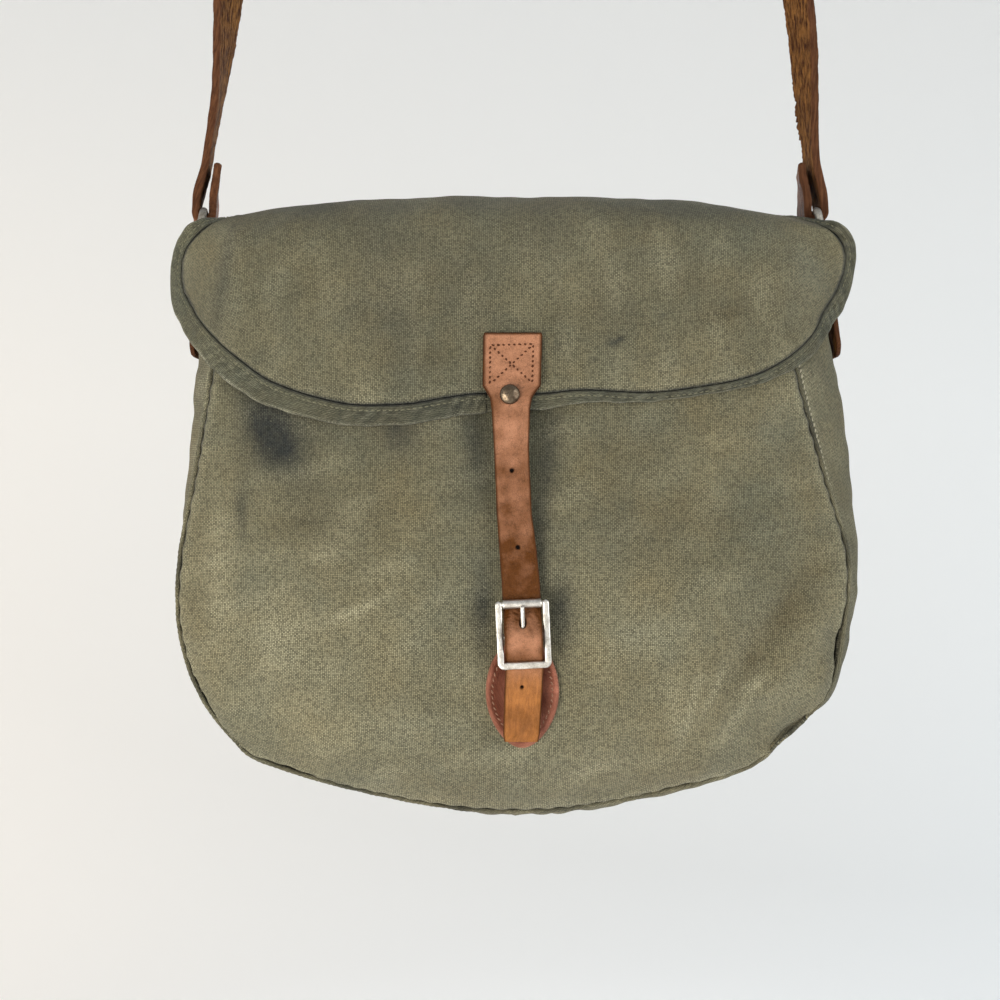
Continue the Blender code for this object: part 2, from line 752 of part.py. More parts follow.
def make_buckle():
    """A frame with three bars, a roller on its top bar and a prong on its middle one."""
    inner = FRAME_HALF - RAIL_WIDE
    low_h, high_h = FOOT_AT[1] - RAIL_WIDE / 2, ROLLER_AT[1] + RAIL_WIDE / 2
    front, back = FOOT_AT[0] - RAIL_THICK / 2, FOOT_AT[0] + RAIL_THICK / 2
    reach = inner + RAIL_WIDE / 2
    frame = block("buckle_frame", (-FRAME_HALF, front, low_h), (-inner, back, high_h), BRASS_LOOK, 0.4)
    rail = block("right_rail", (inner, front, low_h), (FRAME_HALF, back, high_h), BRASS_LOOK, 0.4)
    foot_low, foot_high = (-reach, front + SHY, low_h + SHY), (reach, back - SHY, low_h + RAIL_WIDE)
    foot = block("foot_bar", foot_low, foot_high, BRASS_LOOK, 0.5)
    top = rod("top_rod", (-reach, *ROLLER_AT), (reach, *ROLLER_AT), TOP_ROD_R, BRASS_LOOK, 12)
    centre = rod("centre_rod", (-reach, *CENTRE_AT), (reach, *CENTRE_AT), CENTRE_ROD_R, BRASS_LOOK, 12)
    for other in (foot, top, centre, rail):
        combine(frame, other, "UNION")
    roller = make_roller(inner - GAP)
    prong = make_prong()
    chape, slot = make_chape()
    lean_about_middle([frame, rail, foot, top, centre, roller, prong, chape, slot])


def make_roller(half):
    """A tube that turns on the top bar."""
    turn = 2 * np.pi * np.arange(16) / 16
    ring = np.stack([np.zeros(16), np.cos(turn), np.sin(turn)], axis=1)
    corners = [(-half, ROLLER_R), (half, ROLLER_R), (half, ROLLER_BORE_R), (-half, ROLLER_BORE_R)]
    sections = np.stack([ring * radius + (x, *ROLLER_AT) for x, radius in corners], axis=1)
    return swept("buckle_roller", sections, STEEL_LOOK, loop=True)


def make_prong():
    """A wire looped round the middle bar, that rises through the strap to rest on the roller."""
    rest = np.array([ROLLER_AT[0] - ROLLER_R - GAP - PRONG_R, PRONG_TOP_H])
    loop = arc(CENTRE_AT, PRONG_LOOP_R, 465, 180, 16)
    line = np.concatenate([loop, [(loop[-1] + rest) / 2, rest]])
    path = np.stack([np.zeros(len(line)), line[:, 0], line[:, 1]], axis=1)
    tangent = unit(np.gradient(path, axis=0))
    wide = np.tile((1.0, 0, 0), (len(path), 1))
    sections = wire_sections(path, wide, np.cross(tangent, wide), PRONG_R, 8)
    return swept("buckle_prong", sections, STEEL_LOOK)


def make_chape():
    """The leather that holds the middle bar: a tail on the patch and a loop with a slot for the prong."""
    radius = CENTRE_ROD_R + GAP + CHAPE_THICK / 2
    loop = arc(CENTRE_AT, radius, 0, 255, 12)
    tail_h = np.array(CHAPE_TAIL_H)
    bag_y = np.minimum(front_y(PATCH_X - CHAPE_HALF, tail_h), front_y(PATCH_X + CHAPE_HALF, tail_h))
    tail_y = bag_y - PATCH_GAP - PATCH_THICK - CHAPE_GAP - CHAPE_THICK / 2
    line = np.concatenate([curve_through([*np.stack([tail_y, tail_h], axis=1), loop[0]], 8)[:-1], loop])
    path = np.stack([np.zeros(len(line)), line[:, 0], line[:, 1]], axis=1)
    wide = np.tile((1.0, 0, 0), (len(path), 1))
    face = unit(np.cross(wide, np.gradient(path, axis=0)))
    sections = ribbon_sections(path, wide, face, CHAPE_HALF, CHAPE_THICK)
    chape = swept("buckle_chape", sections, RED_LEATHER_LOOK)
    half = PRONG_SLOT_WIDE / 2
    front, back = CUT_Y
    low, high = CHAPE_SLOT_H
    slot = block("chape_slot", (-half, front, low), (half, back, high), RED_LEATHER_LOOK)
    combine(chape, slot, "DIFFERENCE")
    return chape, slot


def lean_about_middle(pieces):
    """Moves the buckle's pieces to their place, and leans them together about the middle of the frame."""
    pivot = bpy.data.objects.new("buckle_pivot", None)
    bpy.context.scene.collection.objects.link(pivot)
    pivot.location = place((BUCKLE_X, *CENTRE_AT))
    pivot.rotation_euler = (0, math.radians(BUCKLE_LEAN), 0)
    for piece in pieces:
        piece.parent = pivot
        piece.location = -place((0, *CENTRE_AT))


def make_patch():
    """An egg-shaped leather patch on the belly, behind the buckle."""
    sectors, rings = 28, np.array([0.3, 0.6, 0.85, 1.0])
    turn = 2 * np.pi * np.arange(sectors) / sectors
    narrow = 1 - 0.16 * np.maximum(-np.sin(turn), 0) ** 2
    tall = np.where(np.sin(turn) > 0, PATCH_UP, PATCH_DOWN)
    across_it = rings[:, None] * PATCH_HALF * narrow * np.cos(turn)
    up_it = rings[:, None] * tall * np.sin(turn)
    x = PATCH_X + np.concatenate([[0], across_it.ravel()])
    h = PATCH_H + np.concatenate([[0], up_it.ravel()])
    points = np.stack([x, front_y(x, h) - PATCH_GAP - PATCH_THICK, h], axis=1)
    faces = [list(face + 1)[::-1] for face in grid_faces(len(rings), sectors, wrap_columns=True)]
    faces += [[0, 1 + k, 1 + (k + 1) % sectors] for k in range(sectors)]
    made = add_object("buckle_patch", place(points), faces, RED_LEATHER_LOOK, closed=False)
    thicken(made, PATCH_THICK)


def main():
    for leftover in list(bpy.data.objects):
        bpy.data.objects.remove(leftover)
    make_panels()
    make_gusset()
    make_rim(make_flap())
    make_shoulder_strap()
    for name, side in (("left", -1), ("right", 1)):
        make_ring("ring_" + name, side)
        make_tab("ring_tab_" + name, side)
    make_closure_strap()
    make_rivet()
    make_buckle()
    make_patch()


main()
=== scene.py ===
import json
import math

import bmesh
import bpy
import numpy as np
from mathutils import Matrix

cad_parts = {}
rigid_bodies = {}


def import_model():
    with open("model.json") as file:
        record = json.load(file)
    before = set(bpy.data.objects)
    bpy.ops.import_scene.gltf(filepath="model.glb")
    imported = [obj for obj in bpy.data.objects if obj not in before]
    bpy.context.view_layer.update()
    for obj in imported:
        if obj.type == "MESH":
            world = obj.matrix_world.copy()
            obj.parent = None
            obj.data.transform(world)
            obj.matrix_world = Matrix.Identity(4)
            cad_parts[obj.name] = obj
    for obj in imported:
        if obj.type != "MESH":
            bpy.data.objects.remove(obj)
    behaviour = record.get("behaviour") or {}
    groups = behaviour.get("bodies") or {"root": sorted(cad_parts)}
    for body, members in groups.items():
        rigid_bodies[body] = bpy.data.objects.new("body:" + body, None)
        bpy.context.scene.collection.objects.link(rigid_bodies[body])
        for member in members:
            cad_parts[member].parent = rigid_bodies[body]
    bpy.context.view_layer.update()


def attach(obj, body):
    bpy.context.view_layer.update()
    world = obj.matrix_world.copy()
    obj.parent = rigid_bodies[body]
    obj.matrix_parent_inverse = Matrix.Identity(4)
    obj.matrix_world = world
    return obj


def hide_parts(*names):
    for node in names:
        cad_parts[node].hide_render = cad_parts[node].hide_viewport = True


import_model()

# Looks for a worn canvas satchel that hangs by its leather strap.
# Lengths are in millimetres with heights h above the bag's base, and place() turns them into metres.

# A millimetre in metres. The rest are in millimetres: the height of the bag's base in the frame, the
# clearance between pieces and the cloth's thickness.
MM = 0.001
BASE_Z = -812
GAP = 0.3
CANVAS = 1.6
ALONG_X, ALONG_Y, ALONG_Z = (1.0, 0, 0), (0, 1.0, 0), (0, 0, 1.0)
SIDE_NAMES = {-1: "left", 1: "right"}
# painted shade: near black stands in for the depth of a punched hole, which is only a shallow dip in the
# leather
PAINTED_HOLE_SHADE = (0.008, 0.005, 0.004, 1)  # the colour down in a punched hole


def table(names, *rows):
    """A small table, as a dict with an array for each named column."""
    return dict(zip(names.split(), np.array(rows, float).T))


# The bag
SEAM = table(
    "h left right",
    (0, 3, 3),
    (7, -56, 62),
    (21, -110, 115),
    (28.5, -129, 128),
    (36, -137, 134),
    (59, -154, 158),
    (96, -164.5, 167),
    (129, -163.5, 168),
    (171, -156, 156),
    (221, -148, 143),
    (289, -134, 131),
)
MOUTH_H = 289
CORNER_H = 36
BODY = table(
    "h half_depth belly",
    (0, 33, 0),
    (8, 33.8, 8),
    (20, 34.8, 15),
    (45, 36.4, 25),
    (75, 38.6, 30),
    (110, 40, 31),
    (160, 40, 26),
    (210, 39.2, 18.5),
    (250, 38, 12.5),
    (289, 36, 7),
)
BACK_SHARE = 0.17
FLAT_POWER, ROUND_POWER = 2.4, 0.75
GUSSET = table(
    "h left right",
    (0, 7, 8),
    (60, 3.5, 9.5),
    (100, 3.5, 12),
    (127, 5.5, 13.5),
    (157, 10, 19.5),
    (179, 12, 24.5),
    (209, 14.5, 28.5),
    (245, 18.5, 28),
    (289, 22, 25.5),
)
SEAM_SET_BACK = 2.0
SEAM_INSET = 0.3
WELT_R, WELT_NIP = 1.25, 3.1  # a welt's radius, and the pitch of its nips
UV_H = 150.0  # the height that the panels' UV is measured from
DENTS = table(
    "x h depth wide tall lean",
    (-112, 178, 3.4, 13, 30, 28),
    (-58, 172, 1.8, 12, 26, 12),
    (92, 168, 2.2, 16, 30, -22),
    (128, 118, 2.0, 12, 26, -18),
    (-122, 96, 1.8, 14, 24, -20),
    (62, 70, 1.4, 16, 20, 10),
)
VALLEY_X, VALLEY_DEPTH, VALLEY_WIDE = 4, 3, 26
VALLEY_H = (28, 60, 200, 226)
NOTCHES = table(
    "x h depth size",
    (163, 84, 3.6, 11),
    (138, 44, 3.0, 10),
    (152, 63, -1.2, 9),
    (-150, 58, 1.6, 12),
    (-112, 22, 1.4, 13),
    (84, 14, 1.2, 12),
)
CREASES = table(
    "x1 h1 x2 h2 depth wide",
    (-60, 118, -18, 136, 0.5, 5),
    (-104, 104, -58, 96, 0.4, 5),
    (64, 104, 104, 70, 0.5, 6),
    (146, 122, 112, 76, 2.6, 10),
    (150, 96, 128, 66, -1.0, 7),
    (40, 48, 92, 36, 0.5, 6),
    (-96, 52, -40, 34, 0.5, 6),
    (-138, 200, -122, 150, 0.8, 6),
    (58, 198, 96, 176, 0.6, 7),
)

# The flap: its profile over the top of the bag, then its lower edge
FLAP = table(
    "y h left right",
    (40.6, 276, 133, 131),
    (40.3, 290, 134, 132),
    (36.8, 302, 135, 133),
    (22, 311.5, 137, 136),
    (-4, 314.5, 139, 138),
    (-16, 313, 141, 142),
    (-25, 310.5, 145, 153),
    (-36, 305, 154.5, 165.5),
    (-45.5, 297, 165, 172),
    (-52, 281, 166, 168),
    (-55, 263, 157.5, 157.5),
    (-57.5, 246, 152.5, 151.5),
    (-60.5, 228, 147, 151),
    (-63, 210, 146, 150),
    (-64, 196, 145, 149),
)
FLAP_EDGE = table(
    "x h",
    (-160, 253),
    (-152, 243.4),
    (-142, 233.4),
    (-131, 224.5),
    (-119, 216),
    (-105, 210),
    (-92, 206),
    (-78, 203),
    (-62, 202.4),
    (-48, 203),
    (-30, 206),
    (-18, 207.6),
    (14, 207.6),
    (34, 209.5),
    (68, 208.6),
    (95, 212),
    (110, 215),
    (125, 220),
    (140, 229),
    (151, 239),
    (160, 251),
)
DROOP, DROOP_AT, DROOP_POWER = 11.3, 149, 3
FOLLOW_FROM, FOLLOW_TO, FOLLOW_SHARE = -30, -55, 0.9
EAR_TURN, EAR_SOFT = 0.7, 6
RIM = table(
    "along width lift",
    (-2, 6, 8),
    (-1.62, 6, 8),
    (-1.42, 6, 0),
    (-1.3, 6.6, 3),
    (-1.2, 9, 5),
    (-1.1, 12.4, 7),
    (-1, 13.2, 8),
    (-0.6, 10.8, 10),
    (-0.3, 10, 8),
    (0, 8.8, 6),
    (0.2, 6.8, 8),
    (0.45, 4.8, 10),
    (0.75, 4.6, 10),
    (1, 8.6, 6),
    (1.08, 10.2, 3),
    (1.16, 9.6, 0),
    (1.24, 7, -4),
    (1.32, 6, -8),
    (1.42, 6, -12),
    (1.62, 6, -6),
    (2, 6, 8),
)
RIM_GAP, RIM_TONGUE, RIM_STITCH, RIM_THICK = 0.35, 2.5, 2.8, 2.2
RIM_STEPS, RIM_SOFT = 560, 7
JOINT_ROWS, JOINT_MORE = slice(254, 269), 0.35

# The shoulder strap, the rings and their tabs: x is measured outwards from the middle
STRAP_WIDE, STRAP_THICK = 25, 4
WIRE_R = 2.0
BAR_X, BAR_H = 161.5, 307
LOW_BAR_X, LOW_BAR_H = 165, 289
RING_HALF, RING_CORNER = 16, 3.5
STRAP_RUN = table(
    "h left right",
    (316, 165.2, 165),
    (332, 161, 161.4),
    (343, 159.3, 160.2),
    (369, 155.3, 157.8),
    (396, 151.6, 156.2),
    (422, 148.1, 153),
    (480, 138, 142),
    (560, 127, 129),
    (640, 113, 114),
    (715, 93, 93),
    (780, 58, 58),
    (808, 24, 24),
    (814, 0, 0),
)
STRAP_TUCK = table("h x", (333, 155.2), (320, 156.6))
STRAP_YAW = table(
    "h left right",
    (300, -11, -6),
    (343, -11, -2),
    (369, -8, 8),
    (396, 4, 12),
    (422, 14, 14),
    (560, 9, 9),
    (700, 4, 4),
    (814, 0, 0),
)
TUCK_TWIST = {-1: -4, 1: -8}
TAB_THICK = 2.7
TAB_INNER = table("h stand_off", (250, 0), (262, 0), (276, 1.2))
TAB_OUTER = table("h stand_off", (270, 3.1), (252, 3.2), (232, 1.8))
TAB_NIP = 0.6
TAB_YAW_H = (270, 288)

# The closure strap and its buckle
LEATHER = 2.5
CLOSURE_FACE = table(
    "h y",
    (42, -69.5),
    (56, -71.8),
    (70, -73.9),
    (111, -73.5),
    (120, -73.2),
    (135, -72),
    (155, -70.3),
    (175, -68.8),
    (190, -68),
    (200, -67.1),
    (206, -66.3),
    (212, -65.4),
    (219, -64.2),
    (228, -62.2),
    (237, -60.8),
)
CLOSURE_PLAN = table(
    "h x half",
    (42, 5.3, 8),
    (46, 5.4, 8.7),
    (70, 6.4, 9),
    (79.3, 6.85, 9),
    (93, 6.2, 9),
    (108, 5.5, 9),
    (118, 5, 9),
    (134, 3.6, 8.8),
    (150, 2, 8.3),
    (180, 0.7, 8.3),
    (200, 0.4, 9.2),
    (205, 0.5, 10),
    (208.5, 0.6, 12.1),
    (211, 0.8, 13.9),
    (235, 1.4, 14.2),
    (237, 1.4, 13.8),
)
# the rows from h 82 to 110 are painted light and shade on the strap's bulge in the buckle: darker behind the
# foot bar and under the roller, lighter over the middle bar; the rest is the leather's tone along the strap
CLOSURE_AGE_AND_SHADE = table(
    "h age",
    (42, 0.3), (60, 0.3), (76, 0.25), (82, 0.6), (88, 0.15), (96, 0.3), (103, 0.75), (110, 1.15), (120, 1.02),
    (135, 0.8), (150, 0.62), (170, 0.45), (178, 0.38), (182, 0.26), (200, 0.3), (212, 0.14), (222, -0.2),
    (237, -0.3)
)
IN_BUCKLE_H, CREASE_H = (82, 86, 104, 108), 178.5
CLOSURE_LINES = (  # name, start and end in x and h
    ("top", (-9.4, 230.6), (11.2, 231.2)),
    ("left", (-9.4, 230.6), (-9.6, 211.4)),
    ("right", (11.2, 231.2), (10.6, 212.0)),
    ("rising", (-8.4, 212.6), (10.4, 230.2)),
    ("falling", (-8.2, 229.6), (10.0, 212.8)),
)
HOLES = table("x h radius", (0.9, 170.6, 1.1), (3.7, 134.3, 1.1), (5.6, 68.6, 0.85), (5.9, 99.4, 1.7))
BUCKLE_X, BUCKLE_LEAN = 6.2, -2.7
ROLLER_AT, CENTRE_AT, FOOT_AT = np.array([(-77.2, 108.0), (-76.0, 92.8), (-77.7, 79.3)])
FRAME_HALF, RAIL_WIDE, RAIL_THICK, FRAME_CORNER = 12.7, 3.3, 2.4, 2.6
ROLLER_R, ROLLER_BORE_R, TOP_ROD_R, CENTRE_ROD_R = 2.15, 1.6, 1.3, 1.5
WRAP_GAP = 0.45
PRONG_R, PRONG_LOOP_R, PRONG_TOP_H = 1.05, 2.85, 107.5
CHAPE_THICK, CHAPE_HALF, CHAPE_GAP = 2.0, 7.5, 0.55
CHAPE_TAIL_H = (62, 72, 82)
PATCH_X, PATCH_H, PATCH_HALF, PATCH_UP, PATCH_DOWN = 5.9, 65, 17.5, 26, 28
PATCH_THICK, PATCH_GAP, PATCH_SEWN = 2.0, 0.6, 0.82
RIVET_X, RIVET_H, RIVET_R, RIVET_DOME, RIVET_GAP = -0.1, 206.7, 4.8, 2.2, 0.9

# Rows of thread: the pitch, a stitch's length and radius, its slant in degrees and how far its ends dip
SEAM_SEWING = {"pitch": 2.8, "long": 2.2, "thick": 0.74, "lean": 26}
HEM_SEWING = {"pitch": 3.0, "long": 2.2, "thick": 0.3}
BINDING_SEWING = {"pitch": 2.9, "long": 2.0, "thick": 0.28}
STRAP_SEWING = {"pitch": 3.2, "long": 2.4, "thick": 0.36}
TAB_SEWING = {"pitch": 3.0, "long": 2.2, "thick": 0.32}
BOX_SEWING = {"pitch": 2.6, "long": 1.6, "thick": 0.5, "lean": 20, "sink": 0.34}
PATCH_SEWING = {"pitch": 2.9, "long": 2.2, "thick": 0.36, "lean": -22}

# Marks on the canvas: dark stains, brown soil and pale rubbed places, on the front panel and on the flap. Some
# rows, as marked, are painted shade and painted light.
FRONT_STAINS_AND_SHADE = table(
    "x h wide tall lean dark",
    (-120, 200, 11, 16, 0, 0.62),
    (-109, 179, 12, 13, 20, 0.55),
    (-117, 188, 14, 16, 20, 0.4),
    (-96, 164, 10, 14, 25, 0.2),
    (-118, 192, 22, 26, 0, 0.22),
    (40, 20, 110, 26, 0, 0.2),
    (104, 84, 30, 34, 0, 0.08),
    (-131, 150, 3.5, 14, 4, 0.5),
    (-54, 188, 8, 12, 14, 0.5),
    (-30, 166, 12, 24, 30, 0.2),
    # partly real stains and partly the closure strap's painted shadow on the canvas: these five narrow rows
    # darken both sides of the strap
    (24, 104, 7, 20, 0, 0.8),
    (-13, 104, 5.5, 22, 0, 0.85),
    (18, 176, 6, 30, -6, 0.65),
    (-16, 180, 7, 26, 8, 0.6),
    (14, 134, 5, 20, 0, 0.5),
    (60, 150, 30, 30, 0, 0.14),
    (-80, 140, 24, 30, 0, 0.16),
)
FRONT_SOIL_AND_SHADE = table(
    "x h wide tall lean dark",
    # painted shade: this long leaning row is a brown shadow along the fold low on the right
    (134, 101, 10, 34, -38, 0.75),
    (118, 78, 5, 4, 0, 0.4),
    (-100, 147, 14, 9, 10, 0.45),
    (-62, 160, 10, 14, 0, 0.3),
    (52, 178, 22, 12, 0, 0.3),
    (88, 150, 16, 10, 20, 0.25),
    (40, 70, 18, 9, 0, 0.25),
    (-40, 60, 26, 9, 0, 0.2),
)
FRONT_RUBS_AND_LIGHT = table(
    "x h wide tall lean light",
    (-88, 130, 10, 4.5, 8, 0.35),
    (-72, 104, 14, 2.2, 22, 0.4),
    (-60, 112, 9, 1.6, 30, 0.25),
    (88, 58, 2.6, 16, -10, 0.4),
    (98, 63, 2.2, 12, -22, 0.4),
    (81, 50, 4, 18, 6, 0.25),
    (118, 66, 7, 2.4, 30, 0.45),
    (112, 52, 3, 14, -34, 0.3),
    (64, 90, 16, 10, 0, 0.16),
    # painted light: these four rows lighten the lower belly and the front's left side
    (-110, 92, 18, 22, 0, 0.3),
    (-142, 120, 8, 36, 0, 0.3),
    (-60, 46, 40, 12, 0, 0.12),
    (20, 30, 50, 8, 0, 0.1),
)
FLAP_STAINS_AND_SHADE = table(
    "x h wide tall lean dark",
    # painted shade: a narrow dark streak where the flap bends round the bag's left corner
    (-141, 268, 4, 24, -8, 0.5),
    (-57, 250, 14, 40, 12, 0.28),
    (-68, 284, 16, 14, 0, 0.2),
    (-20, 262, 20, 30, 0, 0.25),
    (18, 290, 14, 22, 0, 0.25),
    (60, 270, 26, 20, 20, 0.12),
    (-100, 300, 30, 8, 0, 0.25),
    (90, 300, 40, 7, 0, 0.2),
    (50, 232, 3.2, 2, 0, 0.7),
    (53.5, 234, 1.8, 1.2, 0, 0.8),
    (74, 246, 2.4, 1.2, 20, 0.4),
    (106, 230, 1.6, 1.1, 0, 0.5),
    (40, 224, 1.2, 1, 0, 0.6),
    (66, 226, 4, 1.2, 12, 0.3),
    (23, 231, 1.5, 4, 0, 0.5),
)
FLAP_SOIL = table(
    "x h wide tall lean dark",
    (104, 247, 12, 5, 12, 0.55),
    (84, 262, 8, 12, 0, 0.3),
    (-96, 262, 16, 12, 0, 0.25),
    (-40, 226, 20, 6, 0, 0.25),
)


def smooth(xs, ys, at):
    """A cubic curve through the points (xs, ys), whose slope at each is the mean of its two chords."""
    at = np.clip(np.asarray(at, float), xs[0], xs[-1])
    chord = np.diff(ys) / np.diff(xs)
    slope = np.concatenate([chord[:1], (chord[:-1] + chord[1:]) / 2, chord[-1:]])
    i = np.clip(np.searchsorted(xs, at) - 1, 0, len(xs) - 2)
    width = xs[i + 1] - xs[i]
    t = (at - xs[i]) / width
    ends = ys[i] * (1 + 2 * t) * (1 - t) ** 2 + ys[i + 1] * t * t * (3 - 2 * t)
    return ends + width * t * (1 - t) * (slope[i] * (1 - t) - slope[i + 1] * t)


def read(rows, name, at):
    """A column of a table, on a smooth curve, at these values of the table's first column."""
    return smooth(next(iter(rows.values())), rows[name], at)


def ease(low, high, at):
    """0 up to low, 1 from high on, with a soft step between."""
    t = np.clip((np.asarray(at, float) - low) / (high - low), 0, 1)
    return t * t * (3 - 2 * t)


def between(low, low_end, high, high_end, at):
    """1 between two soft steps, up over the first pair of values and down over the second."""
    return ease(low, low_end, at) * (1 - ease(high, high_end, at))


def bell(distance, size):
    """1 at no distance, falling to a third at this size, as exp(-(d / size)^2)."""
    return np.exp(-((distance / size) ** 2))


def lengths(points):
    """The distance along a line of points, at each of them."""
    return np.concatenate([[0], np.cumsum(np.linalg.norm(np.diff(points, axis=0), axis=1))])


def rows_at(at, along, rows):
    """Rows of numbers that belong to places along a line, read off between them."""
    return np.stack([np.interp(at, along, column) for column in rows.T], axis=1)


def curve_through(points, count):
    """Evenly spaced points on a smooth curve through the given ones."""
    points = np.asarray(points, float)
    along = lengths(points)
    at = np.linspace(0, along[-1], count)
    return np.stack([smooth(along, column, at) for column in points.T], axis=1)


def evenly(points, step):
    """Points every step along straight stretches between the given ones."""
    points = np.asarray(points, float)
    along = lengths(points)
    return rows_at(np.linspace(0, along[-1], max(2, round(along[-1] / step) + 1)), along, points)


def arc(centre, radius, first, last, count):
    """Points on an arc in a plane, its angles in degrees."""
    turn = np.radians(np.linspace(first, last, count))
    return np.asarray(centre) + radius * np.stack([np.cos(turn), np.sin(turn)], axis=1)


def around(count):
    """Angles that divide a full turn evenly."""
    return 2 * np.pi * np.arange(count) / count


def unit(vectors):
    """Vectors drawn to a length of 1."""
    return vectors / np.linalg.norm(vectors, axis=-1, keepdims=True)


def rumple(a, b, size, seed):
    """Soft unevenness, about -1 to 1: twelve sine waves of roughly this length, in scattered directions."""
    rng = np.random.default_rng(seed)
    turn, phase = rng.uniform(0, 2 * np.pi, 12), rng.uniform(0, 2 * np.pi, 12)
    stretch = rng.uniform(0.7, 1.6, 12)
    total = np.zeros(np.broadcast(a, b).shape)
    for t, p, k in zip(turn, phase, stretch):
        total += np.sin(2 * np.pi * k / size * (a * math.cos(t) + b * math.sin(t)) + p)
    return total / 3.5


def patches(a, b, size, seed):
    """The raised half of such unevenness, and 0 elsewhere."""
    return np.maximum(rumple(a, b, size, seed), 0)


def ovals(rows, x, h, amount):
    """The sum of soft leaning ovals from a table, each amount * exp(-(a / wide)^2 - (b / tall)^2)."""
    total = np.zeros(np.broadcast(x, h).shape)
    columns = (rows[name] for name in ("x", "h", "wide", "tall", "lean", amount))
    for cx, ch, wide, tall, lean, deep in zip(*columns):
        turn = math.radians(lean)
        a = (x - cx) * math.cos(turn) + (h - ch) * math.sin(turn)
        b = (h - ch) * math.cos(turn) - (x - cx) * math.sin(turn)
        total += deep * np.exp(-((a / wide) ** 2) - (b / tall) ** 2)
    return total


# Shape of the bag, as in the solids


def seam_x(h, side):
    """The seam outline's x at height h. It is read by the root of h, in which its round base is even."""
    return smooth(np.sqrt(SEAM["h"]), SEAM["left" if side < 0 else "right"], np.sqrt(np.maximum(h, 0)))


def seam_point(root):
    """x and h on the seam outline, from the root of the height, negative on the left."""
    root = np.asarray(root, float)
    h = root * root
    return np.array([np.where(root < 0, seam_x(h, -1), seam_x(h, 1)), h])


def seam_roots(first, last, count):
    """Roots of the height that divide a stretch of the seam outline evenly."""
    root = np.linspace(first, last, 1200)
    along = lengths(seam_point(root).T)
    return np.interp(np.linspace(0, along[-1], count), along, root)


def across(x, h):
    """-1 on the left seam, 0 midway and 1 on the right seam."""
    left, right = seam_x(h, -1), seam_x(h, 1)
    return np.clip((2 * x - left - right) / np.maximum(right - left, 1), -1, 1)


def fullness(x, h):
    """1 in the middle of a panel and 0 on its seams."""
    return (1 - np.abs(across(x, h)) ** FLAT_POWER) ** ROUND_POWER


def mouth_to_mouth(count, short=0.0):
    """Roots that divide the whole seam evenly, or all but a short stretch at each end."""
    top = math.sqrt(MOUTH_H) - short
    return seam_roots(-top, top, count)


def body(name, h):
    """The bag's half depth or belly at height h."""
    return read(BODY, name, h)


def front_y(x, h):
    """The front panel: flat depth, plus its belly, less its dents and the valley under the closure strap."""
    full = fullness(x, h)
    pressed = ovals(DENTS, x, h, "depth")
    pressed += VALLEY_DEPTH * between(*VALLEY_H, h) * bell(x - VALLEY_X, VALLEY_WIDE)
    return -body("half_depth", h) - body("belly", h) * full + pressed * np.sqrt(full)


def back_y(x, h):
    """The back panel: flat depth, plus a share of the belly."""
    return body("half_depth", h) + BACK_SHARE * body("belly", h) * fullness(x, h)


def panel_plan(columns, rows):
    """x and h over a panel: a grid blended between the straight mouth and the seam round it."""
    corner, top = math.sqrt(CORNER_H), math.sqrt(MOUTH_H)
    u = np.linspace(0, 1, columns)
    v = np.linspace(0, 1, rows)[:, None]
    low = seam_point(seam_roots(-corner, corner, columns))[:, None, :]
    left = seam_point(seam_roots(-corner, -top, rows))[:, :, None]
    right = seam_point(seam_roots(corner, top, rows))[:, :, None]
    sides = (1 - u) * left + u * right
    ends = (1 - u) * left[:, :1] + u * right[:, :1]
    return (1 - v) * (low - ends) + sides


def gusset_point(root, w):
    """The gusset's outer face. It bulges out from the seam, most midway, w = 0, and not at w = -1 or 1."""
    x, h = seam_point(root)
    along = unit((seam_point(root + 0.01) - seam_point(root - 0.01)).T)
    bulge = np.where(root < 0, read(GUSSET, "left", h), read(GUSSET, "right", h))
    out = bulge * (1 - np.abs(w) ** 3) - SEAM_INSET
    y = np.broadcast_to(w * (body("half_depth", h) - SEAM_SET_BACK), x.shape)
    return np.stack([x + out * along[:, 1], y, h - out * along[:, 0]], axis=-1)


def gusset_reach(side, h):
    """How far the middle of the gusset stands out from the middle of the bag, at height h."""
    root = side * np.linspace(math.sqrt(CORNER_H), math.sqrt(MOUTH_H), 200)
    line = gusset_point(root, 0.0)
    return np.interp(h, line[:, 2], np.abs(line[:, 0]))


FLAP_S = lengths(np.stack([FLAP["y"], FLAP["h"]], axis=1))


def flap_recess(x, h):
    """How far the flap lies behind its middle: it follows the front, then turns back past the seam."""
    edge = np.abs(np.where(x < 0, seam_x(h, -1), seam_x(h, 1)))
    curve = 1 - (1 - FOLLOW_SHARE * np.abs(across(x, h)) ** FLAT_POWER) ** ROUND_POWER
    past = np.maximum(np.abs(x) - edge + 2, 0)
    return body("belly", h) * curve + EAR_TURN * (np.hypot(past, EAR_SOFT) - EAR_SOFT)


def flap_at(u, s):
    """The flap's outer face. u runs from its left edge to its right, s is the way along its profile."""
    y, top, left, right = (smooth(FLAP_S, column, s) for column in FLAP.values())
    x = u * np.where(u < 0, left, right)
    h = top - DROOP * (np.abs(x) / DROOP_AT) ** DROOP_POWER
    follow = ease(-FOLLOW_FROM, -FOLLOW_TO, -y)
    return np.stack([x, y + follow * flap_recess(x, h), h], axis=-1)


def flap_lengths(u):
    """The way along the profile at which each column of the flap meets the lower edge."""
    s = np.linspace(FLAP_S[-1] * 0.55, FLAP_S[-1], 400)
    found = []
    for value in u:
        line = flap_at(np.full(s.shape, value), s)
        found.append(np.interp(0, read(FLAP_EDGE, "h", line[:, 0]) - line[:, 2], s))
    return np.array(found)


# Making pieces


